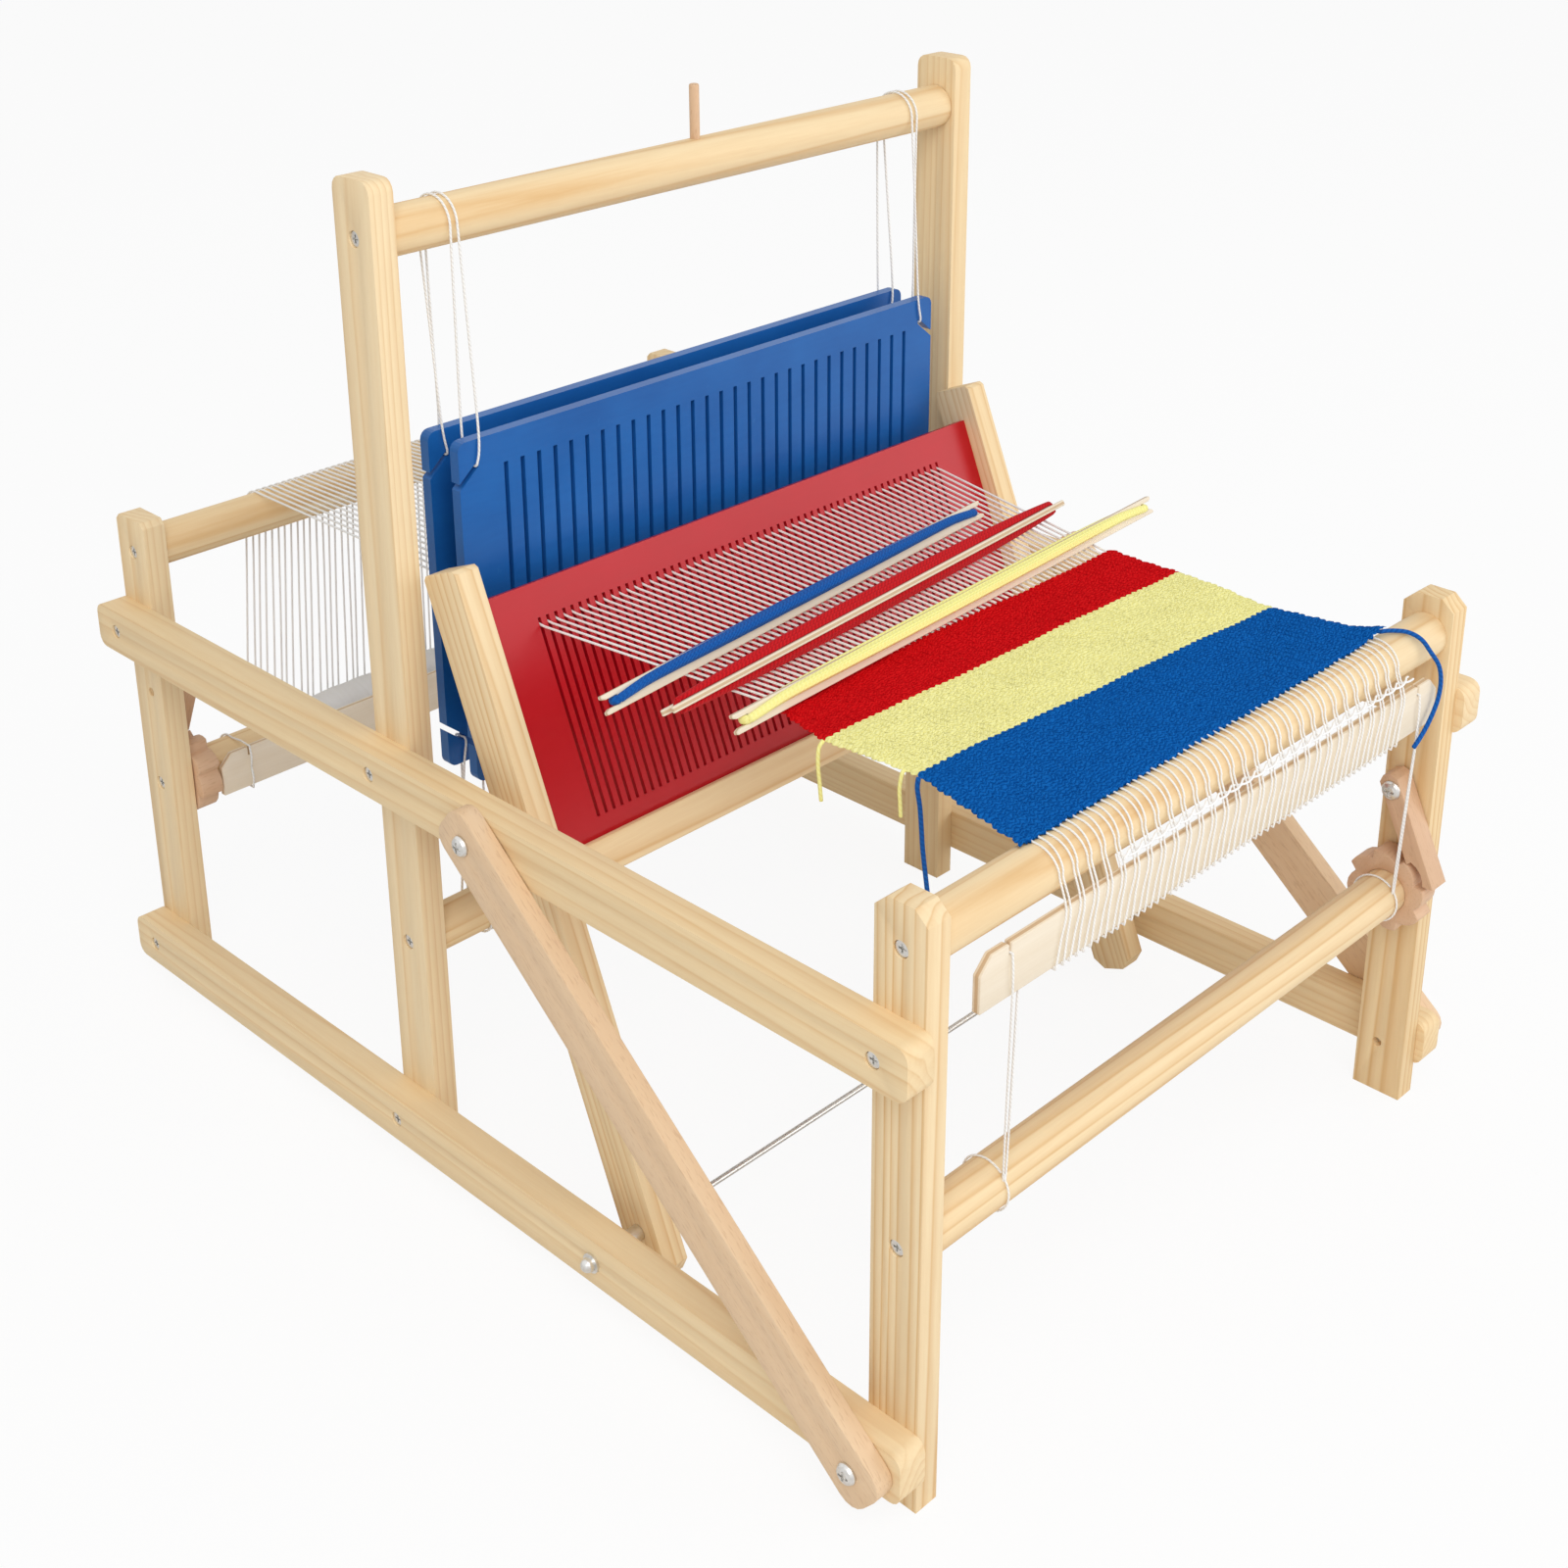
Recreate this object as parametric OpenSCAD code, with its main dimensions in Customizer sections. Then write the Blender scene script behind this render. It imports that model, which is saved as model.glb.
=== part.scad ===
// Small two-shaft table loom with slotted heddle boards, a swinging beater,
// a half-woven cloth and three wound shuttles lying on the warp.
// Sizes are in millimetres. The loom stands on Z = 0, its front (cloth side)
// faces -Y and X runs across it.

/* [Posts] */
// Distance from a heddle board's side edge to the post beside it
board_play = 22; // [20:0.5:30]
// Thickness of every post across the loom
post_t = 13; // [11:0.5:16]
// Depth of every post from front to back
post_d = 27; // [24:0.5:32]
// Distance from the middle of the loom to the front and rear posts
end_post_y = 276; // [250:2:300]
// Distance of the tall posts behind the middle of the loom
shaft_post_y = 46; // [40:1:60]
// Height of the rear posts
rear_post_h = 288; // [280:1:310]
// Height of the front posts
front_post_h = 289; // [282:1:310]
// Height of the tall posts that carry the heddles
shaft_post_h = 511; // [500:1:540]
// Bevel on the square post tops
post_bevel = 3; // [1:0.5:6]
// Rounding of the tall posts' tops
post_crown = 6; // [2:0.5:10]

/* [Rails and braces] */
// Thickness of the side rails
rail_t = 15.5; // [12:0.5:20]
// Height of the side rails' section
rail_h = 25; // [20:0.5:32]
// How far a rail runs past the end posts
rail_over = 4.5; // [1:0.5:12]
// Corner rounding of the rail ends
rail_round = 6; // [2:0.5:9]
// Underside of the lower rail above the floor
lower_rail_z = 17; // [10:1:30]
// Underside of the upper rail above the floor
upper_rail_z = 214; // [200:1:225]
// Width of the slanting braces
brace_w = 27; // [20:0.5:34]
// Thickness of the slanting braces
brace_t = 9.5; // [7:0.5:14]
// Overhang of a brace past its screws
brace_over = 15; // [10:0.5:16]
// Distance of the brace's top screw in front of the middle
brace_top_y = 38; // [20:1:60]
// Distance of the brace's lower screw in front of the middle
brace_foot_y = 274; // [240:1:276]

/* [Bars and rollers] */
// Diameter of every round bar
bar_d = 23; // [18:0.5:26]
// Height of the breast beam's and the back beam's axes
beam_z = 268.5; // [262:0.5:272]
// Height of the top heddle roller's axis
top_roller_z = 484; // [470:1:492]
// Height of the lower heddle roller's axis
lower_roller_z = 127; // [110:1:140]
// Height of the cloth roller's axis
cloth_roller_z = 129; // [115:1:140]
// Height of the warp roller's axis
warp_roller_z = 128; // [115:1:140]
// Side play of a turning bar at each post
bar_play = 0.5; // [0.2:0.1:1.5]
// Diameter of the handle peg on the top roller
handle_d = 5; // [4:0.5:8]
// Length of the handle peg that stands out of the roller
handle_l = 27; // [15:1:45]
// Distance of the handle peg from the middle
handle_x = 5; // [0:1:60]
// Depth of the handle peg in the roller
handle_seat = 9; // [5:0.5:14]

/* [Ratchets and pawls] */
// Number of ratchet teeth
tooth_n = 8; // [6:1:12]
// Radius at the tooth tips
tooth_tip_r = 22; // [20:0.5:24]
// Radius at the bottom of the notches
tooth_root_r = 17.5; // [15.5:0.25:18.5]
// Thickness of a ratchet wheel
ratchet_t = 13; // [8:0.5:16]
// Width of a pawl
pawl_w = 10.5; // [8:0.5:12]
// Height of a pawl's pivot above the roller's axis
pawl_rise = 57.4; // [50:0.5:64]
// Shift of a pawl pivot from the roller axis towards the heddles
pawl_side = 1.9; // [0:0.1:4]
// Lean of the hanging pawl out from the post
pawl_lean = 20; // [16:0.5:22]
// Angle by which the pawl stands off its notch, so that the wheel can turn
pawl_lift = 5.5; // [5.5:0.5:30]
// Distance from the pawl's pivot to its round top
pawl_top = 8; // [5.5:0.5:14]
// Gap between the pawl's foot and the ratchet
pawl_gap = 0.4; // [0.3:0.05:0.8]

/* [Beater] */
// Distance of the beater's axle in front of the middle
axle_y = 104.5; // [90:0.5:120]
// Diameter of the axle rod
axle_d = 3; // [2.5:0.25:5]
// Lean of the resting beater towards the heddles
beater_lean = 22.4; // [18:0.2:23]
// Thickness of a beater arm across the loom
arm_t = 13.3; // [10:0.5:16]
// Depth of a beater arm
arm_d = 25.7; // [20:0.5:30]
// Length of a beater arm above the axle
arm_up = 324; // [310:1:345]
// Length of a beater arm below the axle
arm_down = 24; // [14:0.5:26]
// Distance from an arm's outer face to the post's inner face
arm_gap = 0.4; // [0.3:0.1:3]
// Distance from the axle to the reed's lower edge
reed_foot = 172.5; // [160:0.5:185]
// Height of the reed board
reed_h = 133; // [125:0.5:145]
// Thickness of the reed board
reed_t = 5; // [4:0.5:7]
// Setback of the reed's face behind the arms' front faces
reed_setback = 9.5; // [4:0.5:14]
// Distance from the reed's lower edge to its slots
reed_slot_foot = 17.5; // [12:0.5:24]
// Length of the reed's slots
reed_slot_l = 99; // [80:0.5:100]
// Width of the reed's slots
reed_slot_w = 1.8; // [1.6:0.1:2.6]
// Height of the beater's crossbar
crossbar_h = 17; // [12:0.5:24]
// Depth of the beater's crossbar
crossbar_d = 16; // [10:0.5:20]
// How far the reed sits in the crossbar's groove
reed_seat = 8.5; // [4:0.5:12]

/* [Heddles] */
// Height of a heddle board
board_h = 175; // [165:1:190]
// Thickness of a heddle board
board_t = 6; // [4:0.5:8]
// Underside of the heddle boards above the floor
board_z = 209; // [200:1:215]
// Distance between the two boards' middle planes
board_gap = 22.4; // [16:0.4:26]
// Distance of the boards' common middle behind the tall posts' middle
board_back = -4.2; // [-6:0.2:2]
// Corner radius of a heddle board
board_round = 4.5; // [2:0.5:6]
// Spacing of the warp threads
thread_pitch = 5; // [4.6:0.1:5.2]
// Number of warp threads
thread_n = 58; // [50:2:58]
// Distance from the outermost thread to a heddle board's side edge
board_edge = 22.5; // [20:0.5:28]
// Width of a heddle slot
heddle_slot_w = 2.5; // [2:0.1:3]
// Length of a heddle slot
heddle_slot_l = 144; // [120:1:150]
// Diameter of a heddle eye
eye_d = 3; // [2.6:0.1:3.4]
// Height of the front board's eyes above its lower edge
eye_rise = 87; // [82:0.5:92]
// Width of the corner slits for the cords
slit_w = 2.6; // [2:0.1:3.5]
// Distance from a board's side edge to the inner end of a slit
slit_in = 10; // [7:0.5:14]
// Distance from a board's upper or lower edge to the cord in its slit
slit_rise = 13; // [9:0.5:18]
// Radius of the heddle cords
cord_r = 0.7; // [0.5:0.05:0.9]
// Spacing of the two strands of a heddle cord
cord_spread = 4; // [2.5:0.5:5]

/* [Warp and cloth] */
// Thickness of a warp thread
thread_w = 1.2; // [0.8:0.1:1.4]
// Thickness of the cloth
cloth_t = 1.6; // [1.2:0.1:2.4]
// Clearance of a thread from the beam that it lies on
thread_lift = 0.3; // [0.2:0.05:0.6]
// Distance of the cloth's last woven line in front of the middle
fell_y = 129.5; // [126:0.5:140]
// Distance of the red and yellow border in front of the middle
yellow_y = 165.5; // [150:0.5:185]
// Slant of the red and yellow border, its right end forward by this and its left end back
yellow_slant = 2; // [0:0.5:4]
// Distance of the yellow and blue border in front of the middle
blue_y = 215.5; // [200:0.5:235]
// Slant of the yellow and blue border, its right end forward by this and its left end back
blue_slant = 6.5; // [0:0.5:8]
// Distance of the cloth's front edge behind the breast beam's axis
cloth_front = 2.5; // [1:0.5:10]
// Width of the cloth at the last woven line
fell_w = 244; // [220:1:250]
// Width of the cloth at its front edge
front_w = 272; // [250:1:276]
// Shift of the cloth to the right at the last woven line
fell_shift = 4; // [0:0.5:9]
// Shift of the cloth to the right at its front edge
front_shift = 10.5; // [0:0.5:15]
// Flare of the left edge at the red and yellow border
left_flare = 3.25; // [0:0.5:12]
// Draw-in of both edges at the yellow and blue border
border_draw = 7.5; // [0:0.5:10]
// Width of the warp on the back beam
back_w = 242; // [220:1:260]
// Width of the warp on the warp roller
wound_w = 264; // [240:1:280]
// Radius of the wound warp
wound_r = 15.5; // [13:0.5:18]

/* [Tie sticks] */
// Length of the two flat tie sticks
stick_l = 344; // [330:2:350]
// Width of the flat tie sticks
stick_w = 24; // [18:1:28]
// Thickness of the flat tie sticks
stick_t = 4; // [3:0.5:5]
// Drop of the cloth stick below the breast beam's axis
stick_drop = 11.5; // [10:0.5:16]
// Bevel of a tie stick's corners
stick_bevel = 7; // [3:0.5:9]
// Distance from a tie stick's end to its tie notch
stick_notch = 18; // [14:0.5:24]
// Radius of the ties
tie_r = 0.6; // [0.4:0.05:0.8]

/* [Shuttles] */
// Length of the blue shuttle
blue_shuttle_l = 288; // [260:2:310]
// Length of the red shuttle
red_shuttle_l = 306; // [280:2:330]
// Length of the yellow shuttle
yellow_shuttle_l = 330; // [300:2:340]
// Shift of the blue shuttle's middle to the left
blue_lie_x = 36.5; // [20:0.5:50]
// Distance of the blue shuttle in front of the middle
blue_lie_y = 72; // [68:0.5:76]
// Shift of the red shuttle's middle to the left
red_lie_x = 11.5; // [0:0.5:25]
// Distance of the red shuttle in front of the middle
red_lie_y = 96.5; // [93:0.5:100]
// Shift of the yellow shuttle's middle to the right
yellow_lie_x = 14.5; // [0:0.5:25]
// Distance of the yellow shuttle in front of the middle
yellow_lie_y = 125.5; // [121:0.5:129]
// Tilt of the blue shuttle, its back edge up
blue_tilt = 58; // [40:1:70]
// Tilt of the red shuttle, its front edge up
red_tilt = 32; // [20:1:45]
// Tilt of the yellow shuttle, its back edge up
yellow_tilt = 66; // [40:1:70]
// Width of each prong beside the notch in a shuttle's end
prong_w = 2.4; // [2:0.1:4]
// Thickness of a shuttle
shuttle_t = 3; // [2.5:0.25:4]
// Depth of the notch in a shuttle's end
notch_l = 9; // [8:0.5:14]
// Radius of the wound yarn
yarn_r = 0.8; // [0.6:0.05:0.85]
// Loops of yarn in each of the two layers
yarn_loops = 1; // [1:1:2]

/* [Fasteners] */
// Shank diameter of the wood screws
screw_d = 3.5; // [3:0.25:4.5]
// Head diameter of the wood screws
screw_head_d = 7; // [6:0.25:8]
// Depth of a wood screw's head below the surface
screw_sink = 1; // [0.5:0.25:2]
// Length of a wood screw under its head
screw_l = 24; // [20:0.5:26]
// Shank diameter of the pan head screws
pan_d = 5; // [4:0.25:6]
// Head diameter of the pan head screws
pan_head_d = 10; // [8:0.5:12]
// Radial clearance of a shaft in its bore
fit = 0.05; // [0.03:0.01:0.09]

/* [Hidden] */
$fn = 48;
e = 0.02;
skin = 0.3;

// The boards' width follows from the threads, and the loom's width from the boards.
warp_span = (thread_n - 1) * thread_pitch;
board_w = warp_span + 2 * board_edge;
inner_x = board_w / 2 + board_play;
outer_x = inner_x + post_t;
rail_out = outer_x + rail_t;
rail_len = 2 * (end_post_y + post_d / 2 + rail_over);
lower_rail_mid = lower_rail_z + rail_h / 2;
upper_rail_mid = upper_rail_z + rail_h / 2;
bar_r = bar_d / 2;
head_t = 2.4;
sink_r = screw_head_d / 2 + 0.4;
sink_l = screw_sink + head_t;

brace_gap = 0.4;
brace_in = rail_out + brace_gap;
brace_out = brace_in + brace_t;
brace_dy = brace_top_y - brace_foot_y;
brace_dz = lower_rail_mid - upper_rail_mid;
brace_len = norm([brace_dy, brace_dz]);
brace_tilt = atan2(-brace_dz, -brace_dy);

thread_r = bar_r + thread_lift + thread_w / 2;
cloth_mid = beam_z + bar_r + thread_lift + cloth_t / 2;
board_mid = shaft_post_y + board_back;
board_y = [board_mid - board_gap / 2, board_mid + board_gap / 2];
eye_z = board_z + eye_rise;
warp_slope = (eye_z - cloth_mid) / (board_y[0] + end_post_y);
warp_angle = atan(warp_slope);
function warp_z(y) = cloth_mid + warp_slope * (y + end_post_y);
function thread_x(j) = thread_pitch * j - warp_span / 2;

arm_out = inner_x - arm_gap;
arm_in = arm_out - arm_t;
reed_w = 2 * arm_in;
reed_face = arm_d / 2 - reed_setback;

stick_y = -end_post_y - thread_r - 2;
stick_top = beam_z - stick_drop;
stick_low = stick_top - stick_w;
warp_stick_y = end_post_y - wound_r - skin - stick_t / 2;

yarn_pitch = 2 * yarn_r + 0.45;
yarn_h = shuttle_t / 2 + skin + yarn_r;
notch_w = yarn_loops * yarn_pitch + 2 * (yarn_r + skin);
shuttle_w = notch_w + 2 * prong_w;

pine = [0.93, 0.83, 0.62];
beech = [0.88, 0.72, 0.58];
blue_paint = [0.16, 0.42, 0.75];
red_paint = [0.80, 0.10, 0.14];
steel = [0.75, 0.76, 0.78];
cotton = [0.96, 0.95, 0.92];
blue_wool = [0.05, 0.30, 0.65];
red_wool = [0.78, 0.06, 0.08];
yellow_wool = [0.97, 0.92, 0.50];

// Outline helpers: a rectangle's corners as points, each rounded by its own radius.
function corner(cx, cy, r, a) = [for (i = [0:4]) [cx + r * cos(a + i * 22.5), cy + r * sin(a + i * 22.5)]];
function round_box(x0, y0, x1, y1, r) = concat(
    corner(x1 - r, y0 + r, r, -90), corner(x1 - r, y1 - r, r, 0),
    corner(x0 + r, y1 - r, r, 90), corner(x0 + r, y0 + r, r, 180));

// Turns an outline drawn as (Y, Z) into a solid of the given span in X.
module slab_x(x0, x1) {
    translate([x0, 0, 0])
        rotate([90, 0, 90])
            linear_extrude(x1 - x0) children();
}

module rod_x(x0, x1, y, z, r) {
    translate([x0, y, z])
        rotate([0, 90, 0])
            cylinder(h = x1 - x0, r = r);
}

// One tube through the points; ref is a direction that the route never follows.
function unit(v) = v / norm(v);
function ahead(p, i) = unit(p[min(i + 1, len(p) - 1)] - p[max(i - 1, 0)]);
module tube(p, r, sides, ref, turn = 0) {
    n = len(p);
    pts = [for (i = [0:n - 1])
        let (t = ahead(p, i), a = unit(cross(ref, t)), b = cross(t, a))
        for (k = [0:sides - 1])
            p[i] + r * (cos(turn + k * 360 / sides) * a + sin(turn + k * 360 / sides) * b)];
    walls = [for (i = [0:n - 2]) for (k = [0:sides - 1])
        let (a = i * sides + k, b = i * sides + (k + 1) % sides)
        each [[a, a + sides, b + sides], [a, b + sides, b]]];
    first = [for (k = [1:sides - 2]) [0, k, k + 1]];
    last = [for (k = [1:sides - 2]) [(n - 1) * sides, (n - 1) * sides + k + 1, (n - 1) * sides + k]];
    polyhedron(points = pts, faces = concat(walls, first, last), convexity = 6);
}

// A straight-walled hole for a wood screw that enters at x_face and points to -side.
module screw_hole(side, x_face, y, z, depth) {
    x1 = side * x_face;
    x0 = side * (x_face - sink_l - 0.1);
    rod_x(min(x1 + side, x0), max(x1 + side, x0), y, z, sink_r);
    x2 = side * (x_face - depth);
    rod_x(min(x1, x2), max(x1, x2), y, z, screw_d / 2 + fit);
}

module wood_screw(side, x_face, y, z) {
    x1 = side * (x_face - screw_sink);
    x2 = side * (x_face - sink_l);
    x3 = side * (x_face - sink_l - screw_l);
    difference() {
        union() {
            rod_x(min(x1, x2), max(x1, x2), y, z, screw_head_d / 2);
            rod_x(min(x1, x3), max(x1, x3), y, z, screw_d / 2);
        }
        translate([x1, y, z]) cube([2.4, 4, 0.9], center = true);
        translate([x1, y, z]) cube([2.4, 0.9, 4], center = true);
    }
}

// Posts: plain bars with bevelled, rounded or crowned tops.
module post(side, y, outline, hole_z) {
    x0 = side > 0 ? inner_x : -outer_x;
    difference() {
        slab_x(x0, x0 + post_t) polygon(outline);
        rod_x(x0 - e, x0 + post_t + e, y, upper_rail_mid, screw_d / 2 + fit);
        if (y < 0)
            rod_x(x0 - e, x0 + post_t + e, -brace_foot_y, lower_rail_mid, pan_d / 2 + fit);
        else
            rod_x(x0 - e, x0 + post_t + e, y, lower_rail_mid, screw_d / 2 + fit);
        for (z = hole_z) screw_hole(side, outer_x, y, z, post_t + 1);
        children();
    }
}

function square_top(y, h) = [
    [y - post_d / 2, 0], [y + post_d / 2, 0], [y + post_d / 2, h - post_bevel],
    [y + post_d / 2 - post_bevel, h], [y - post_d / 2 + post_bevel, h],
    [y - post_d / 2, h - post_bevel]];
function faceted_top(y, h) = [
    [y - post_d / 2, 0], [y + post_d / 2, 0], [y + post_d / 2, h - 6],
    [y + post_d / 4, h], [y - post_d / 4, h], [y - post_d / 2, h - 6]];
function crowned_top(y, h) = concat(
    [[y - post_d / 2, 0], [y + post_d / 2, 0]],
    corner(y + post_d / 2 - post_crown, h - post_crown, post_crown, 0),
    corner(y - post_d / 2 + post_crown, h - post_crown, post_crown, 90));

module rear_post(side) {
    color(pine)
        post(side, end_post_y, square_top(end_post_y, rear_post_h), [beam_z, warp_roller_z])
            if (side < 0) translate([0, 0, pawl_rise + warp_roller_z])
                rod_x(-outer_x - e, -inner_x + e, end_post_y - pawl_side, 0, pan_d / 2 + fit);
}
module shaft_post(side) {
    color(pine)
        post(side, shaft_post_y, crowned_top(shaft_post_y, shaft_post_h),
            [top_roller_z, lower_roller_z]);
}
module front_post(side) {
    color(pine)
        post(side, -end_post_y, faceted_top(-end_post_y, front_post_h), [beam_z, cloth_roller_z])
            if (side > 0) translate([0, 0, pawl_rise + cloth_roller_z])
                rod_x(inner_x - e, outer_x + e, pawl_side - end_post_y, 0, pan_d / 2 + fit);
}

module left_rear_post() rear_post(-1);
module right_rear_post() rear_post(1);
module left_shaft_post() shaft_post(-1);
module right_shaft_post() shaft_post(1);
module left_front_post() front_post(-1);
module right_front_post() front_post(1);

// Side rails on the posts' outer faces, with their screw, axle and brace holes.
module rail(side, z0, brace_y, with_axle) {
    x0 = side > 0 ? outer_x : -rail_out;
    zm = z0 + rail_h / 2;
    color(pine)
        difference() {
            slab_x(x0, x0 + rail_t)
                polygon(round_box(-rail_len / 2, z0, rail_len / 2, z0 + rail_h, rail_round));
            for (y = with_axle ? [shaft_post_y, end_post_y] : [-end_post_y, shaft_post_y, end_post_y])
                screw_hole(side, rail_out, y, zm, rail_t + 1);
            rod_x(x0 - e, x0 + rail_t + e, -brace_y, zm, pan_d / 2 + fit);
            if (with_axle) rod_x(x0 - e, x0 + rail_t + e, -axle_y, zm, axle_d / 2 + fit);
        }
}
module left_upper_rail() rail(-1, upper_rail_z, brace_top_y, false);
module right_upper_rail() rail(1, upper_rail_z, brace_top_y, false);
module left_lower_rail() rail(-1, lower_rail_z, brace_foot_y, true);
module right_lower_rail() rail(1, lower_rail_z, brace_foot_y, true);

// A slanting brace drawn along its own length from the top screw, then leaned.
module brace(side) {
    x0 = side > 0 ? brace_in : -brace_out;
    color(beech)
        translate([0, -brace_top_y, upper_rail_mid])
            rotate([brace_tilt, 0, 0])
                difference() {
                    slab_x(x0, x0 + brace_t)
                        polygon(round_box(-brace_len - brace_over, -brace_w / 2,
                            brace_over, brace_w / 2, min(9, brace_w / 2 - 1)));
                    for (d = [0, -brace_len])
                        rod_x(x0 - e, x0 + brace_t + e, d, 0, pan_d / 2 + fit);
                }
}
module left_brace() brace(-1);
module right_brace() brace(1);

// Round bars between the posts. A bored blind hole at each end takes a screw.
module round_bar(y, z, play) {
    half = inner_x - play;
    deep = outer_x - sink_l - screw_l - 0.5;
    difference() {
        rod_x(-half, half, y, z, bar_r);
        rod_x(deep, half + e, y, z, screw_d / 2 + fit);
        rod_x(-half - e, -deep, y, z, screw_d / 2 + fit);
        children();
    }
}
module back_beam() color(pine) round_bar(end_post_y, beam_z, 0);
module breast_beam() color(pine) round_bar(-end_post_y, beam_z, 0);
module top_roller() {
    color(pine)
        round_bar(shaft_post_y, top_roller_z, bar_play)
            translate([handle_x, shaft_post_y, top_roller_z + bar_r - handle_seat])
                cylinder(h = handle_seat + 1, r = handle_d / 2 + fit);
}
module roller_handle() {
    color(beech)
        translate([handle_x, shaft_post_y, top_roller_z + bar_r - handle_seat])
            rotate_extrude()
                polygon([[0, 0], [handle_d / 2, 0], [handle_d / 2, handle_seat + handle_l - 0.6],
                    [handle_d / 2 - 0.6, handle_seat + handle_l], [0, handle_seat + handle_l]]);
}
module lower_heddle_roller() color(pine) round_bar(shaft_post_y, lower_roller_z, bar_play);
module cloth_roller() color(pine) round_bar(-end_post_y, cloth_roller_z, bar_play);
module warp_roller() color(pine) round_bar(end_post_y, warp_roller_z, bar_play);

module screw_pair(y, z) {
    color(steel) for (s = [-1, 1]) wood_screw(s, outer_x, y, z);
}
module top_roller_screws() screw_pair(shaft_post_y, top_roller_z);
module lower_roller_screws() screw_pair(shaft_post_y, lower_roller_z);
module cloth_roller_screws() screw_pair(-end_post_y, cloth_roller_z);
module warp_roller_screws() screw_pair(end_post_y, warp_roller_z);

// A ratchet wheel's outline: each tooth rises steeply and falls slowly away. One
// notch stands at the angle where the pawl's foot rests.
foot_angle = 151;
tooth_step = 360 / tooth_n;
tooth_rise = 8;
tooth_fall = tooth_step - tooth_rise;
function tooth_r(f) = tooth_tip_r - (tooth_tip_r - tooth_root_r) * f * f;
function tooth(a) = concat([[tooth_root_r * cos(a), tooth_root_r * sin(a)]],
    [for (f = [0:0.25:0.75]) tooth_r(f) * [cos(a + tooth_rise + f * tooth_fall), sin(a + tooth_rise + f * tooth_fall)]]);
module wheel_outline() polygon([for (k = [0:tooth_n - 1]) each tooth(foot_angle + k * tooth_step)]);

wheel_out = inner_x - bar_play - 0.3;
wheel_in = wheel_out - ratchet_t;
module ratchet_at_front() {
    translate([0, -end_post_y, cloth_roller_z])
        difference() {
            slab_x(wheel_in, wheel_out) wheel_outline();
            rod_x(wheel_in - e, wheel_out + e, 0, 0, bar_r);
        }
}
module cloth_ratchet() color(beech) ratchet_at_front();
module warp_ratchet() {
    color(beech)
        translate([0, 0, warp_roller_z - cloth_roller_z])
            rotate([0, 0, 180]) ratchet_at_front();
}

// The pawl's foot is cut to the wheel with a gap, to end on the steep face of the tooth
// below it. The pawl is drawn engaged and then turned out on its screw, clear of the teeth.
pawl_len = pawl_rise + tooth_tip_r;
function at(r, a) = [r * cos(a), r * sin(a)];
module pawl_cut() {
    big = (tooth_tip_r + pawl_gap) / tooth_tip_r;
    face_in = at(tooth_root_r, foot_angle) + [0, pawl_gap];
    face_out = at(tooth_tip_r, foot_angle + tooth_rise) + [0, pawl_gap];
    scale([big, big, 1]) wheel_outline();
    polygon([[0, 0], face_in, face_out, face_out - [2 * pawl_w, 0], [-pawl_rise, -pawl_rise], [0, -pawl_rise]]);
}
module pawl_at_front() {
    top = [[pawl_w / 2, pawl_top - 3], [pawl_w / 2 - 3, pawl_top],
        [3 - pawl_w / 2, pawl_top], [-pawl_w / 2, pawl_top - 3]];
    translate([0, pawl_side - end_post_y, cloth_roller_z + pawl_rise])
        rotate([-pawl_lift, 0, 0])
        difference() {
            rotate([-pawl_lean, 0, 0])
                difference() {
                    slab_x(wheel_in, wheel_out)
                        polygon(concat([[-pawl_w / 2, -pawl_len], [pawl_w / 2, -pawl_len]], top));
                    rod_x(wheel_in - e, wheel_out + e, 0, 0, pan_d / 2 + fit);
                }
            translate([0, -pawl_side, -pawl_rise])
                slab_x(wheel_in - 1, wheel_out + 1) pawl_cut();
        }
}
module cloth_pawl() color(beech) pawl_at_front();
module warp_pawl() {
    color(beech)
        translate([0, 0, warp_roller_z - cloth_roller_z])
            rotate([0, 0, 180]) pawl_at_front();
}

// The beater is drawn upright on its axle and then leaned back.
module on_beater() {
    translate([0, -axle_y, lower_rail_mid])
        rotate([-beater_lean, 0, 0]) children();
}
crossbar_foot = reed_foot + reed_seat - crossbar_h;
module beater_arm(side) {
    x0 = side > 0 ? arm_in : -arm_out;
    h = arm_d / 2;
    color(pine)
        on_beater()
            difference() {
                slab_x(x0, x0 + arm_t)
                    polygon([[-h + 6, -arm_down], [h - 6, -arm_down], [h, -arm_down + 6],
                        [h, arm_up - 2], [h - 2, arm_up], [-h + 2, arm_up], [-h, arm_up - 2],
                        [-h, -arm_down + 6]]);
                rod_x(x0 - e, x0 + arm_t + e, 0, 0, axle_d / 2 + fit);
            }
}
module left_batten_arm() beater_arm(-1);
module right_batten_arm() beater_arm(1);

module batten_crossbar() {
    color(pine)
        on_beater()
            difference() {
                translate([-arm_in, -reed_face + reed_t / 2 - crossbar_d / 2, crossbar_foot])
                    cube([2 * arm_in, crossbar_d, crossbar_h]);
                translate([-arm_in - 1, -reed_face, reed_foot])
                    cube([2 * arm_in + 2, reed_t, reed_h]);
            }
}
module reed() {
    color(red_paint)
        on_beater()
            difference() {
                translate([-reed_w / 2, -reed_face, reed_foot]) cube([reed_w, reed_t, reed_h]);
                for (j = [0:thread_n - 1])
                    translate([thread_x(j) - reed_slot_w / 2, -reed_face - 1, reed_foot + reed_slot_foot])
                        cube([reed_slot_w, reed_t + 2, reed_slot_l]);
            }
}

washer_t = 1.2;
cap_r = 3.6;
module batten_axle() {
    half = rail_out + washer_t + 3;
    color(steel) rod_x(-half, half, -axle_y, lower_rail_mid, axle_d / 2);
}
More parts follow.
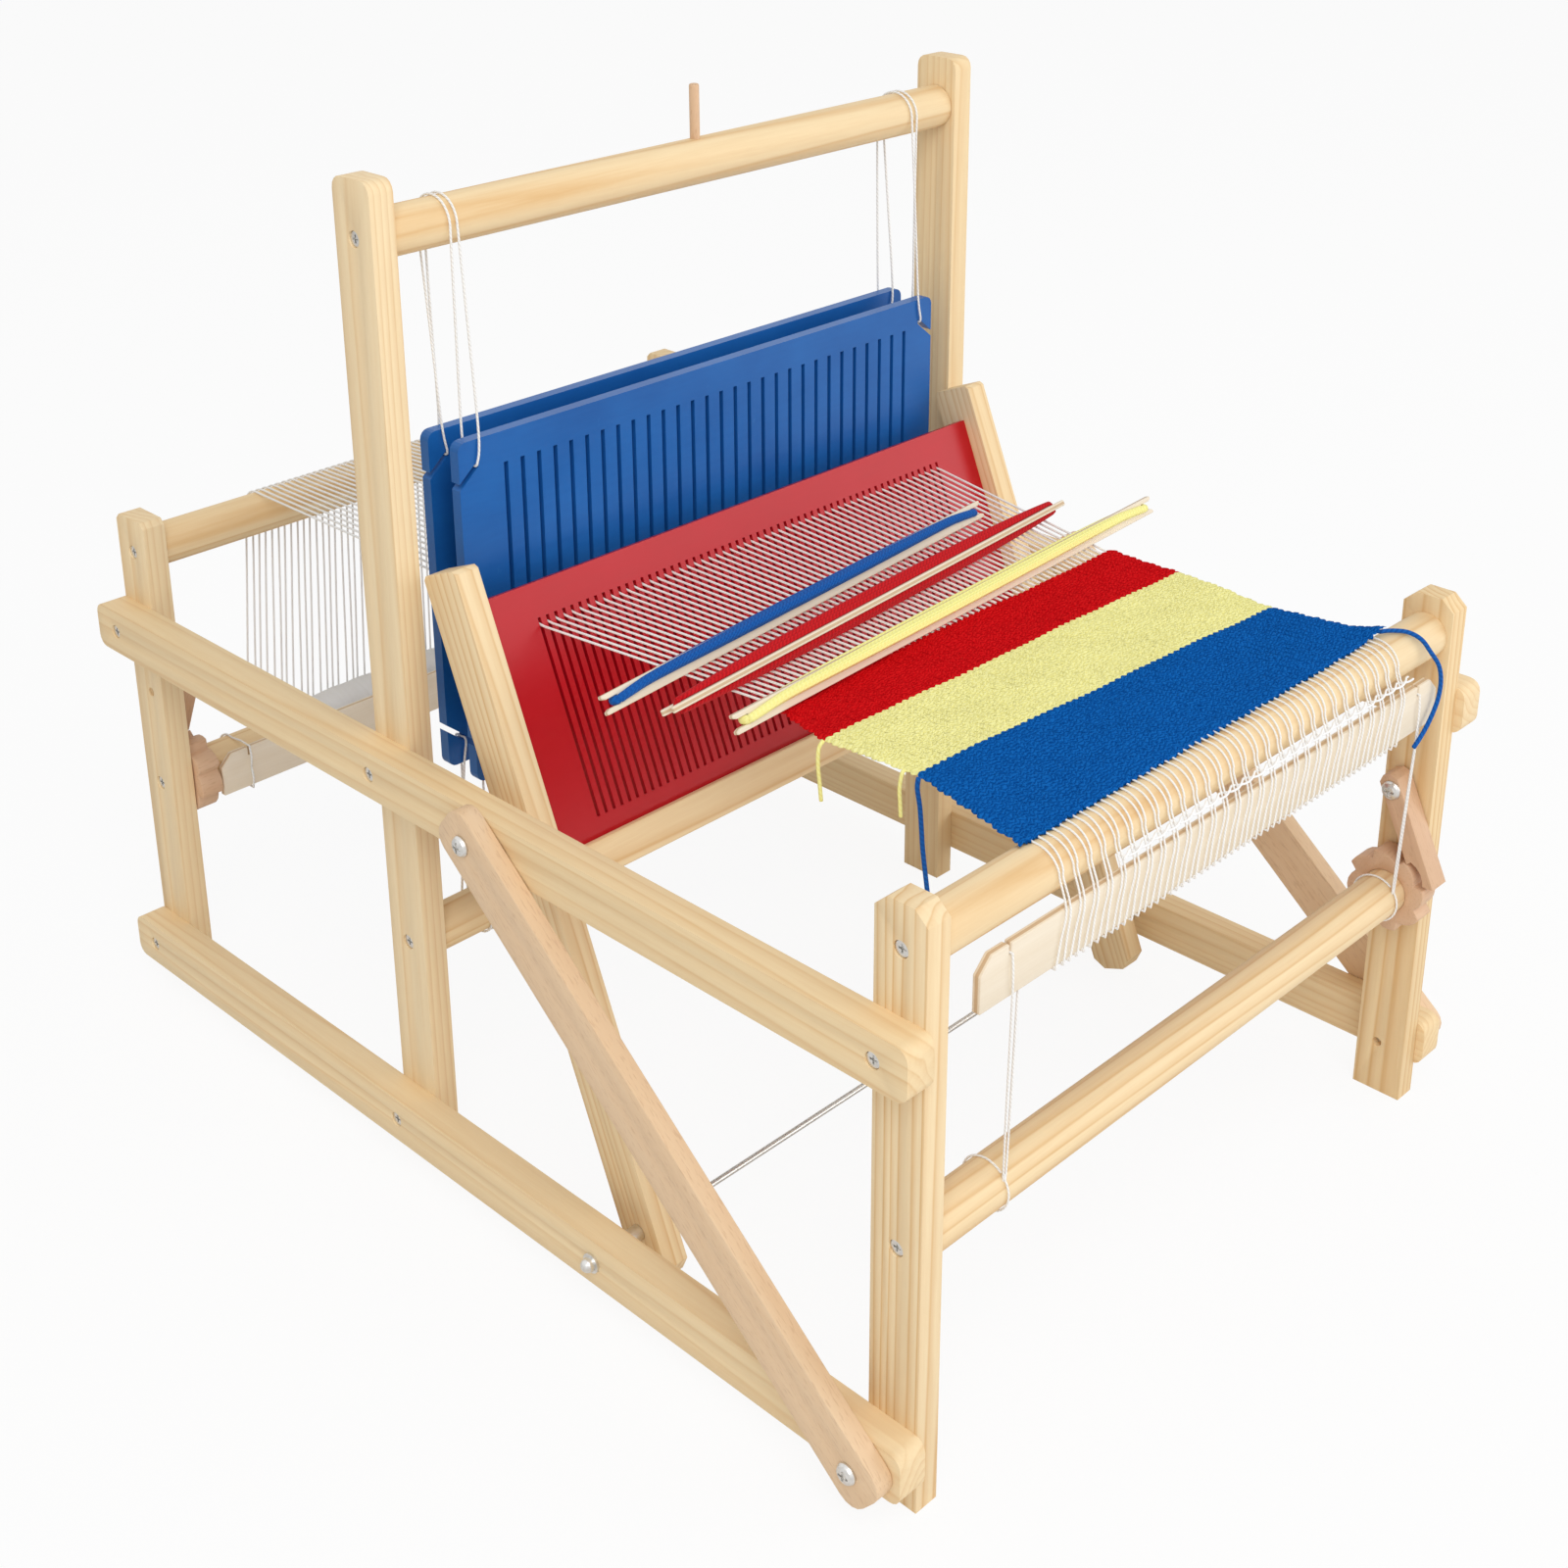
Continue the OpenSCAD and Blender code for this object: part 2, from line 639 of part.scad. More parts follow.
// Two spacers on the axle between the arms and the rails, and outside each rail a
// washer and a domed cap.
module axle_ring(x0, x1, r) {
    difference() {
        translate([0, 0, x0]) cylinder(h = x1 - x0, r = r);
        translate([0, 0, x0 - 1]) cylinder(h = x1 - x0 + 2, r = axle_d / 2 + fit);
    }
}
module axle_fittings() {
    cap = rail_out + washer_t;
    color(steel)
        translate([0, -axle_y, lower_rail_mid])
            for (s = [-1, 1])
                rotate([0, s * 90, 0]) {
                    axle_ring(arm_out + 0.2, outer_x, axle_d / 2 + 2.5);
                    axle_ring(rail_out, cap, axle_d / 2 + 3.5);
                    difference() {
                        translate([0, 0, cap + 0.02])
                            rotate_extrude()
                                polygon(concat([[0, 0], [cap_r, 0], [cap_r, 1.4]],
                                    [for (a = [15:15:90]) [cap_r * cos(a), 1.4 + cap_r * sin(a)]]));
                        translate([0, 0, cap - 1]) cylinder(h = 4.1, r = axle_d / 2 + fit);
                    }
                }
}

// Heddle boards: slots for one half of the threads, eyes for the other half.
module corner_slit(sx, sz) {
    translate([sx * (board_w / 2 - slit_in), 0, board_z + board_h / 2 + sz * (board_h / 2 - slit_rise)])
        rotate([90, 0, 0])
            translate([0, 0, -board_t]) {
                cylinder(h = 2 * board_t, r = slit_w / 2);
                rotate([0, 0, sx > 0 ? -sz * 40 : 180 + sz * 40])
                    translate([0, -slit_w / 2, 0]) cube([3 * slit_in, slit_w, 2 * board_t]);
            }
}
module heddle_board(turn) {
    y = board_y[turn];
    eye_at = eye_z + warp_slope * (y - board_y[0]);
    color(blue_paint)
        translate([0, y, 0])
            difference() {
                rotate([90, 0, 0])
                    translate([0, 0, -board_t / 2])
                        linear_extrude(board_t)
                            polygon(round_box(-board_w / 2, board_z, board_w / 2, board_z + board_h, board_round));
                for (j = [0:thread_n - 1])
                    if ((j + turn) % 2 == 1)
                        translate([thread_x(j), 0, board_z + board_h / 2])
                            cube([heddle_slot_w, board_t + 2, heddle_slot_l], center = true);
                    else
                        translate([thread_x(j), board_t, eye_at])
                            rotate([90, 0, 0]) cylinder(h = 2 * board_t, r = eye_d / 2, $fn = 24);
                for (sx = [-1, 1]) for (sz = [-1, 1]) corner_slit(sx, sz);
            }
}
module front_heddle() heddle_board(0);
module back_heddle() heddle_board(1);

// A heddle cord is one loop: through the front board's slit, over or under the roller,
// through the back board's slit and back over the roller beside its first strand.
cord_off = board_t / 2 + skin + cord_r;
cord_x = board_w / 2 - slit_in;
cord_roll = bar_r + skin + cord_r;
function strand(s, x, ya, yb, ze, zr, up) = concat(
    [[s * cord_x, ya, ze + up * 1.5], [s * x, ya, ze + up * (slit_rise + 3)]],
    [for (a = [180:-22.5:0]) [s * x, shaft_post_y + cord_roll * cos(a), zr + up * cord_roll * sin(a)]],
    [[s * x, yb, ze + up * (slit_rise + 3)], [s * cord_x, yb, ze + up * 1.5]]);
function backwards(p) = [for (i = [len(p) - 1:-1:0]) p[i]];
function cord_route(s, up, zr) =
    let (ze = up > 0 ? board_z + board_h - slit_rise : board_z + slit_rise,
        fore = strand(s, cord_x - cord_spread / 2, board_y[0] - cord_off, board_y[1] + cord_off, ze, zr, up),
        aft = strand(s, cord_x + cord_spread / 2, board_y[0] + cord_off, board_y[1] - cord_off, ze, zr, up))
    concat([[s * cord_x, board_y[0], ze], [s * cord_x, board_y[0] - cord_off + 0.4, ze + up * 0.3]], fore,
        [[s * cord_x, board_y[1] + cord_off - 0.4, ze + up * 0.3],
            [s * cord_x, board_y[1] - cord_off + 0.4, ze + up * 0.3]],
        backwards(aft),
        [[s * cord_x, board_y[0] + cord_off - 0.4, ze + up * 0.3], [s * cord_x, board_y[0] + 0.3, ze]]);
module upper_heddle_cords() {
    color(cotton) for (s = [-1, 1]) tube(cord_route(s, 1, top_roller_z), cord_r, 6, [1, 0.02, 0]);
}
module lower_heddle_cords() {
    color(cotton) for (s = [-1, 1]) tube(cord_route(s, -1, lower_roller_z), cord_r, 6, [1, 0.02, 0]);
}

// The cloth lies along the warp. Its edges run between the last woven line and the
// beam, with the flare and the draw-in that the weaving left.
cloth_end = end_post_y - cloth_front;
function even_edge(s, d) = let (f = (d - fell_y) / (cloth_end - fell_y))
    (1 - f) * (fell_shift + s * fell_w / 2) + f * (front_shift + s * front_w / 2);
function edge_y(s, d) = d + s * (d == yellow_y ? yellow_slant : d == blue_y ? blue_slant : 0);
function edge_x(s, d) = even_edge(s, edge_y(s, d))
    - (s < 0 && d == yellow_y ? left_flare : 0) - (d == blue_y ? s * border_draw : 0);
function side_run(s, d0, d1) = [for (i = [0:6]) let (f = i / 6)
    [(1 - f) * edge_x(s, d0) + f * edge_x(s, d1) + (i % 2) * s * 0.8,
        (end_post_y - (1 - f) * edge_y(s, d0) - f * edge_y(s, d1)) / cos(warp_angle)]];
module stripe(d0, d1, paint) {
    color(paint)
        translate([0, -end_post_y, cloth_mid])
            rotate([warp_angle, 0, 0])
                translate([0, 0, -cloth_t / 2])
                    linear_extrude(cloth_t)
                        polygon(concat(side_run(-1, d0, d1), backwards(side_run(1, d0, d1))));
}
module red_stripe() stripe(fell_y, yellow_y, red_wool);
module yellow_stripe() stripe(yellow_y, blue_y, yellow_wool);
module blue_stripe() stripe(blue_y, cloth_end, blue_wool);

// Warp threads from the cloth through the reed and the heddles and over the back beam.
lean_s = sin(beater_lean);
lean_c = cos(beater_lean);
reach_n = reed_face + 2;
reed_t_at = (cloth_mid + warp_slope * (end_post_y - axle_y - reach_n * lean_c) - lower_rail_mid
    - reach_n * lean_s) / (lean_c - warp_slope * lean_s);
reed_y = -axle_y + reed_t_at * lean_s - reach_n * lean_c;
heddle_end = board_y[1] + board_t / 2 + 4;
function across(j, w) = (j / (thread_n - 1) - 0.5) * w;
function thread_route(j) = concat(
    [[fell_shift + across(j, fell_w - 4), 0.4 - fell_y, warp_z(0.4 - fell_y)],
        [thread_x(j), reed_y, warp_z(reed_y)], [thread_x(j), heddle_end, warp_z(heddle_end)]],
    [for (a = [90:-22.5:0]) [across(j, back_w), end_post_y + thread_r * cos(a), beam_z + thread_r * sin(a)]]);
module warp_threads() {
    color(cotton)
        for (j = [0:thread_n - 1]) tube(thread_route(j), thread_w / sqrt(2), 4, [1, 0, 0], 45);
}
module rear_warp() {
    color(cotton)
        for (j = [0:thread_n - 1])
            tube([[across(j, back_w), end_post_y + thread_r, beam_z - 0.05],
                [across(j, wound_w), end_post_y + wound_r + skin + thread_w / 2, warp_roller_z]],
                thread_w / sqrt(2), 4, [1, 0, 0], 45);
}
module wound_warp() {
    half = wound_w / 2 + 2;
    color(cotton)
        difference() {
            rod_x(-half, half, end_post_y, warp_roller_z, wound_r);
            rod_x(-half - 1, half + 1, end_post_y, warp_roller_z, bar_r + fit);
        }
}

// Flat tie sticks with two bevelled corners and a tie notch near each end.
module tie_stick() {
    l = stick_l / 2;
    b = stick_bevel;
    rotate([90, 0, 0])
        translate([0, 0, -stick_t / 2])
            linear_extrude(stick_t)
                difference() {
                    polygon([[-l, 0], [l, 0], [l, stick_w - b], [l - b, stick_w],
                        [b - l, stick_w], [-l, stick_w - b]]);
                    for (s = [-1, 1])
                        translate([s * (l - stick_notch) - tie_r - 0.2, stick_w - 5])
                            square([2 * tie_r + 0.4, 6]);
                }
}
module cloth_stick() color(pine) translate([0, stick_y, stick_low]) tie_stick();
module warp_stick() {
    color(pine) translate([0, warp_stick_y, warp_roller_z - stick_w / 2]) tie_stick();
}

// The warp's front loops lie over the breast beam in pairs and hold the cloth stick.
pair_pitch = (front_w - 6) / (thread_n / 2);
function pair_x(m) = front_shift + (m - (thread_n / 2 - 1) / 2) * pair_pitch;
stick_face = stick_y - stick_t / 2 - skin - thread_w / 2;
loop_drift = -5;
function loop_route(j) =
    let (xp = pair_x(floor(j / 2)), s = j % 2 == 0 ? -1 : 1,
        xf = xp + s * pair_pitch / 4, xs = xp + s * 1.1)
    concat([[xf, -cloth_end - 0.3, cloth_mid]],
        [for (a = [90:22.5:180])
            [xf + (xs - xf) * (a - 90) / 90, thread_r * cos(a) - end_post_y, beam_z + thread_r * sin(a)]],
        [[xs, stick_face, stick_top + 1], [xs + loop_drift, stick_face, stick_low - skin - thread_w / 2],
            [xs + loop_drift, stick_y + stick_t / 2, stick_low - skin - thread_w / 2]]);
module warp_loops() {
    color(cotton)
        for (j = [0:thread_n - 1]) tube(loop_route(j), thread_w / sqrt(2), 4, [1, 0, 0], 45);
}
// Two strands twined through the loops, one before and one behind each pair.
twine_r = 0.5;
twine_swing = thread_w / 2 + twine_r + 0.72;
twine_z = beam_z - 5;
twine_y = -end_post_y - thread_r
    + (stick_face + end_post_y + thread_r) * (beam_z - twine_z) / (beam_z - stick_top - 1);
module twined_cord() {
    color(cotton)
        for (k = [0, 1])
            tube([for (i = [0:75]) let (a = 60 * i + 180 * k)
                [pair_x(4) + i * pair_pitch / 3, twine_y - twine_swing * cos(a), twine_z + 0.9 * sin(a)]],
                twine_r, 5, [0, 0, 1]);
}

// Ties: from the cloth stick's notches to a ring round the cloth roller, and belts
// round the warp stick and the warp roller.
tie_x = stick_l / 2 - stick_notch;
tie_roll = bar_r + skin + tie_r;
tie_drift = 10;
module cloth_tie(s) {
    x0 = s * tie_x;
    xr = x0 + tie_drift;
    front = stick_y - stick_t / 2 - skin - tie_r;
    knot = (tie_roll + 2 * tie_r + skin) * [cos(135), sin(135)] + [-end_post_y, cloth_roller_z];
    tube([[x0, stick_y, stick_top - 4], [x0, front + 0.3, stick_top - 4], [x0 + 0.3, front, stick_top - 6],
        [x0 + 1, front, stick_low - 1], [xr - 1, knot[0], knot[1] + 4], [xr, knot[0], knot[1]],
        [xr + 1, knot[0], knot[1] + 4], [x0 + 8, stick_y, stick_low - tie_r - skin]],
        tie_r, 6, [1, 1, 0]);
    tube([for (a = [137:22:489]) [xr, tie_roll * cos(a) - end_post_y, tie_roll * sin(a) + cloth_roller_z]],
        tie_r, 6, [1, 0, 0]);
}
module cloth_stick_ties() color(cotton) for (s = [-1, 1]) cloth_tie(s);
module warp_stick_ties() {
    y0 = warp_stick_y - stick_t / 2 - skin - tie_r;
    half = stick_w / 2 + skin + tie_r + 0.4;
    color(cotton)
        for (s = [-1, 1])
            tube(concat([[s * tie_x, y0, warp_roller_z + 0.2], [s * tie_x, y0, warp_roller_z + half]],
                [for (a = [105:-21:-105])
                    [s * tie_x, end_post_y + tie_roll * cos(a), warp_roller_z + tie_roll * sin(a)]],
                [[s * tie_x, y0, warp_roller_z - half], [s * tie_x, y0, warp_roller_z - 0.2]]),
                tie_r, 6, [1, 0, 0]);
}

// Shuttles: flat sticks with a notch in each end, laid across the warp.
blue_lie = [-blue_lie_x, -blue_lie_y, 5.4, blue_tilt];
red_lie = [-red_lie_x, -red_lie_y, 4.8, -red_tilt];
yellow_lie = [yellow_lie_x, -yellow_lie_y, 3.6, yellow_tilt];
// Depth of a tilted shuttle below its axis: the lower edge of the stick or the yarn.
function sole(l, tilt) = max(shuttle_w / 2 * abs(sin(tilt)) + shuttle_t / 2 * cos(tilt),
    yarn_r - min([for (p = yarn_route(l)) p[1] * sin(tilt) + p[2] * cos(tilt)]));
module on_warp(l, lie) {
    translate([lie[0], lie[1], warp_z(lie[1]) + cloth_t / 2 + skin + sole(l, lie[3])])
        rotate([warp_angle, 0, 0])
            rotate([0, 0, lie[2]])
                rotate([lie[3], 0, 0]) children();
}
function half_stick(l, w, n) = [[l, -w], [l, -n - 0.8], [l - 2, -n], [l - notch_l, -n],
    [l - notch_l, n], [l - 2, n], [l, n + 0.8], [l, w]];
module shuttle(l, lie) {
    right = half_stick(l / 2, shuttle_w / 2, notch_w / 2);
    color(pine)
        on_warp(l, lie)
            translate([0, 0, -shuttle_t / 2])
                linear_extrude(shuttle_t)
                    polygon(concat(right, [for (p = right) -p]));
}
// The wound yarn: one tube that runs over and under the shuttle through its notches,
// out across the notch in the first layer and back in the second.
rings = 20;
function climb(u) = min(1, max(0, (u - yarn_loops) * 2 + 0.5));
function step_x(k, x, h) =
    k <= 5 ? x * (k / 2.5 - 1)
    : k <= 9 ? x + h * cos(90 - (k - 5) * 36)
    : k <= 15 ? x * (1 - (k - 10) / 2.5)
    : -x + h * cos(-90 - (k - 15) * 36);
function step_z(k, h) =
    k <= 5 ? h : k <= 9 ? h * sin(90 - (k - 5) * 36) : k <= 15 ? -h : h * sin(-90 - (k - 15) * 36);
function bump(x, x_end) = max(0, 1 - pow(x / x_end, 2));
function yarn_point(i, x_end) =
    let (u = i / rings, k = i % rings, h = yarn_h + climb(u) * yarn_pitch,
        c = (u < yarn_loops ? u : 2 * yarn_loops - u) - yarn_loops / 2,
        x = step_x(k, x_end, h), b = bump(x, x_end))
    [x, c * yarn_pitch * (1 + 0.55 * b) + 2 * b, step_z(k, h)];
function yarn_route(l) =
    let (x_end = l / 2 - notch_l, n = 2 * yarn_loops * rings, last = yarn_point(n, x_end))
    concat([for (i = [1:n]) yarn_point(i, x_end)], [last + [2 * yarn_r, 0, 0]]);
function least_gap(p) = min([for (i = [0:len(p) - 1]) for (j = [i + 12:1:len(p) - 1]) norm(p[i] - p[j])]) - 2 * yarn_r;
echo(least_gap_of_yarn = [for (l = [blue_shuttle_l, red_shuttle_l, yellow_shuttle_l]) least_gap(yarn_route(l))]);
module yarn(l, lie, paint) {
    color(paint) on_warp(l, lie) tube(yarn_route(l), yarn_r, 6, [0.03, 1, 0]);
}
module blue_shuttle() shuttle(blue_shuttle_l, blue_lie);
module red_shuttle() shuttle(red_shuttle_l, red_lie);
module yellow_shuttle() shuttle(yellow_shuttle_l, yellow_lie);
module blue_yarn() yarn(blue_shuttle_l, blue_lie, blue_wool);
module red_yarn() yarn(red_shuttle_l, red_lie, red_wool);
module yellow_yarn() yarn(yellow_shuttle_l, yellow_lie, yellow_wool);

// Loose yarn ends. Each starts at the cloth's edge and hangs.
tail_r = 0.9;
function from_edge(side, d, p) =
    let (y = -edge_y(side, d)) [for (q = p) [edge_x(side, d), y, warp_z(y)] + q];
tail_a = from_edge(-1, yellow_y, [[-1, -0.5, 0.2], [-3.8, -0.5, -2.4], [-4.3, -0.5, -10.4],
    [-3.3, -0.5, -19.4], [-2.3, -0.5, -28.4]]);
tail_b = from_edge(-1, blue_y, [[-2.1, 5, 0.6], [-3.7, 5, -0.5], [-5.1, 5, -6.9],
    [-4.6, 5, -13.9], [-4.1, 5, -20.9]]);
tail_c = from_edge(-1, blue_y, [[-2.4, -3, 0.1], [-3, -3, -4.9], [-1.2, -3, -13.9], [0, -3, -23.9],
    [1, -3, -33.9], [2.5, -3, -43.9], [4, -3, -52.9], [5, -3, -58.9]]);
tail_d = from_edge(1, cloth_end, [[1, 1, 0.6], [5.5, -2.5, 0.8], [11.5, -8, -0.2], [15.5, -13.5, -3.7],
    [18.5, -17.5, -10.2], [22, -20.5, -17.2], [23.5, -21.7, -25.2], [23, -21.7, -34.2],
    [18.5, -21.7, -42.2], [11.5, -21.7, -49.2], [3.5, -21.7, -54.2]]);
function curve(p, i, f) =
    let (a = p[max(i - 1, 0)], b = p[i], c = p[i + 1], d = p[min(i + 2, len(p) - 1)])
    0.5 * (2 * b + (c - a) * f + (2 * a - 5 * b + 4 * c - d) * f * f + (3 * b - a - 3 * c + d) * f * f * f);
function smooth(p) = concat([for (i = [0:len(p) - 2]) each [p[i], curve(p, i, 0.5)]], [p[len(p) - 1]]);
module yellow_tails() {
    color(yellow_wool) for (t = [tail_a, tail_b]) tube(smooth(t), tail_r, 8, [0, 1, 0]);
}
module left_blue_tail() color(blue_wool) tube(smooth(tail_c), tail_r, 8, [0, 1, 0]);
module right_blue_tail() color(blue_wool) tube(smooth(tail_d), tail_r, 8, [0, 1, 0.3]);

// Wood screws hold the rails to the posts and the two fixed beams between the posts.
module frame_screws() {
    color(steel)
        for (s = [-1, 1]) {
            for (y = [-end_post_y, shaft_post_y, end_post_y]) wood_screw(s, rail_out, y, upper_rail_mid);
            for (y = [shaft_post_y, end_post_y]) wood_screw(s, rail_out, y, lower_rail_mid);
            for (y = [-end_post_y, end_post_y]) wood_screw(s, outer_x, y, beam_z);
        }
}
// Pan head screws hold the braces and carry the pawls. Those at the braces' feet go on
// through the rail into the post.
pan_l = 24;
pan_h = 3;
module pan_screw(s, face, y, z, l) {
    translate([s * (face + 0.1), y, z])
        rotate([0, s * 90, 0])
            difference() {
                union() {
                    rotate_extrude()
                        polygon([[0, 0], [pan_head_d / 2, 0], [pan_head_d / 2, 0.8],
                            [pan_head_d / 2 - 0.8, 2], [pan_head_d / 4, pan_h - 0.2], [0, pan_h]]);
                    translate([0, 0, -l]) cylinder(h = l + 0.5, r = pan_d / 2);
                }
                translate([0, 0, pan_h]) cube([pan_head_d * 0.55, 1.1, 2.4], center = true);
                translate([0, 0, pan_h]) cube([1.1, pan_head_d * 0.55, 2.4], center = true);
            }
}
module pan_screws() {
    color(steel) {
        for (s = [-1, 1]) {
            pan_screw(s, brace_out, -brace_top_y, upper_rail_mid, pan_l);
            pan_screw(s, brace_out, -brace_foot_y, lower_rail_mid, brace_out - inner_x - 4);
        }
        pan_screw(-1, -wheel_in, pawl_side - end_post_y, cloth_roller_z + pawl_rise, pan_l);
        pan_screw(1, -wheel_in, end_post_y - pawl_side, warp_roller_z + pawl_rise, pan_l);
    }
}

left_rear_post();
right_rear_post();
left_shaft_post();
right_shaft_post();
left_front_post();
right_front_post();
left_upper_rail();
right_upper_rail();
left_lower_rail();
right_lower_rail();
left_brace();
right_brace();
back_beam();
breast_beam();
top_roller();
roller_handle();
top_roller_screws();
lower_heddle_roller();
lower_roller_screws();
warp_roller();
warp_ratchet();
warp_roller_screws();
wound_warp();
warp_stick();
warp_stick_ties();
cloth_roller();
cloth_ratchet();
cloth_roller_screws();
warp_pawl();
cloth_pawl();
left_batten_arm();
right_batten_arm();
batten_crossbar();
reed();
batten_axle();
axle_fittings();
front_heddle();
back_heddle();
upper_heddle_cords();
lower_heddle_cords();
cloth_stick();
cloth_stick_ties();
warp_threads();
rear_warp();
red_stripe();
yellow_stripe();
blue_stripe();
warp_loops();
twined_cord();
blue_shuttle();
blue_yarn();
red_shuttle();
red_yarn();
yellow_shuttle();
yellow_yarn();
yellow_tails();
left_blue_tail();
right_blue_tail();
frame_screws();
pan_screws();
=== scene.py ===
import bpy
import math
import random
from mathutils import Matrix, Vector


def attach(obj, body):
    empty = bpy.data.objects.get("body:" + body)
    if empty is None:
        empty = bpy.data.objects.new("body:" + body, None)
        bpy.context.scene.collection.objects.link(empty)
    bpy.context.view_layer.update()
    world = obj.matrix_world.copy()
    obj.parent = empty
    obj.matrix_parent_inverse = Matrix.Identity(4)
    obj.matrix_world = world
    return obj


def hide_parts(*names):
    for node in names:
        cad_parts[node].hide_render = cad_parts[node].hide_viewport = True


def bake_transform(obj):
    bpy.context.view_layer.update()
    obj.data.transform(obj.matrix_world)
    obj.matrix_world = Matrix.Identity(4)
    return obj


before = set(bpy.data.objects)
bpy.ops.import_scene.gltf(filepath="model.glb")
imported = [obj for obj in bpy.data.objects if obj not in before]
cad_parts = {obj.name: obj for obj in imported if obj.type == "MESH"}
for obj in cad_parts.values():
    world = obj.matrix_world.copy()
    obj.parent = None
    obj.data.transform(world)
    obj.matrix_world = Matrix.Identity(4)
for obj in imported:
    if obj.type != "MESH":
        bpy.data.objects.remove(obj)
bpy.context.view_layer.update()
bpy.ops.object.select_all(action="DESELECT")
mm = 0.001
random.seed(12)

# Camera. It stands at the loom's front left corner, a little above its top and
# looks down on it. The photograph is cut off-centre, which is what the shift is for.
bpy.ops.object.camera_add(
    location=(-0.7411, -0.7477, 0.7355),
    rotation=(math.radians(68.47), math.radians(0.406), math.radians(-45.295)),
)
camera = bpy.context.object
camera.name = "camera"
camera.data.sensor_width = 36
camera.data.lens = 51.17
camera.data.shift_x = 0.0083
camera.data.shift_y = -0.1848
camera.data.dof.use_dof = False
bpy.context.scene.camera = camera


# Blue yarn tails. Two ends of the thick blue weft yarn are left hanging from the cloth:
# a short one on the left edge and a longer one that runs off the front right corner
# and down before the cloth stick. They are soft two-ply wool, cut off plain.
beam_y, beam_z, beam_top = 276, 268.5, 281.1
warp_slope = 14.9 / 306.6
fell_middle, fell_half, front_middle, front_half = 4, 122, 10.5, 136
borders, slants = [129.5, 165.5, 215.5, 273.5], [0, 2, 6.5, 0]
left_flare, draw_in = 3.25, -7.5


def warp_z(y):
    """Height of the stretched warp at a place from front to back, in mm."""
    return beam_top + warp_slope * (y + beam_y)


def border_end(side, i):
    """Left or right end of a stripe's border: its x, and how far it lies in front."""
    d = borders[i] + side * slants[i]
    f = (d - borders[0]) / (borders[-1] - borders[0])
    flare = left_flare if side < 0 and i == 1 else draw_in if i == 2 else 0
    x = (1 - f) * (fell_middle + side * fell_half) + f * (front_middle + side * front_half)
    return x + side * flare, d


def from_edge(side, i, offsets):
    """Points that lie at these offsets from the end of a border."""
    x, d = border_end(side, i)
    return [(x + a, b - d, warp_z(-d) + c) for a, b, c in offsets]


def eased(points, steps):
    """A smooth curve through the points, with that many steps between two of them."""
    p = [Vector(q) for q in points]
    out = []
    for i in range(len(p) - 1):
        a, b, c, d = p[max(i - 1, 0)], p[i], p[i + 1], p[min(i + 2, len(p) - 1)]
        for k in range(steps):
            f = k / steps
            out.append(0.5 * (2 * b + (c - a) * f + (2 * a - 5 * b + 4 * c - d) * f**2
                              + (3 * b - a - 3 * c + d) * f**3))
    return out + [p[-1]]


def spun(name, routes, radius, sides=8):
    """Round closed threads along routes in mm, with slightly domed ends. On the UV map U
    goes once round a thread and V is the length along it in mm."""
    dome = 0.35
    verts, faces, uvs = [], [], []
    for route in routes:
        pts = [Vector(p) for p in route]
        ahead = [(pts[min(i + 1, len(pts) - 1)] - pts[max(i - 1, 0)]).normalized()
                 for i in range(len(pts))]
        side = ahead[0].orthogonal().normalized()
        start, run = len(verts), [0.0]
        for i, (p, t) in enumerate(zip(pts, ahead)):
            if i:
                run.append(run[-1] + (p - pts[i - 1]).length)
                side = (side - t * side.dot(t)).normalized()
            up = t.cross(side)
            for k in range(sides):
                a = 2 * math.pi * k / sides
                verts.append((p + radius * (math.cos(a) * side + math.sin(a) * up)) * mm)
        for i in range(len(pts) - 1):
            for k in range(sides):
                a, b = start + i * sides + k, start + i * sides + (k + 1) % sides
                faces.append((a, b, b + sides, a + sides))
                uvs += [(k / sides, run[i]), ((k + 1) / sides, run[i]),
                        ((k + 1) / sides, run[i + 1]), (k / sides, run[i + 1])]
        for i, turn in ((0, -1), (len(pts) - 1, 1)):
            hub = len(verts)
            verts.append((pts[i] + ahead[i] * turn * dome) * mm)
            for k in range(sides):
                a, b = start + i * sides + k, start + i * sides + (k + 1) % sides
                faces.append((a, b, hub) if turn > 0 else (b, a, hub))
                uvs += [(k / sides, run[i])] * 3
    mesh = bpy.data.meshes.new(name)
    mesh.from_pydata(verts, [], faces)
    layer = mesh.uv_layers.new(name="UVMap")
    layer.data.foreach_set("uv", [x for uv in uvs for x in uv])
    mesh.polygons.foreach_set("use_smooth", [True] * len(mesh.polygons))
    mesh.update()
    piece = bpy.data.objects.new(name, mesh)
    bpy.context.scene.collection.objects.link(piece)
    return piece


class Wire:
    """A node's output, so that shader sums can be written as plain expressions."""

    def __init__(self, finish, socket):
        self.finish, self.socket = finish, socket

    def sums(self, operation, a, b):
        return self.finish.node("ShaderNodeMath", {"operation": operation}, {0: a, 1: b})

    def __add__(self, other):
        return self.sums("ADD", self, other)

    def __sub__(self, other):
        return self.sums("SUBTRACT", self, other)

    def __mul__(self, other):
        return self.sums("MULTIPLY", self, other)

    def __truediv__(self, other):
        return self.sums("DIVIDE", self, other)

    def __pow__(self, other):
        return self.sums("POWER", self, other)

    __radd__, __rmul__ = __add__, __mul__


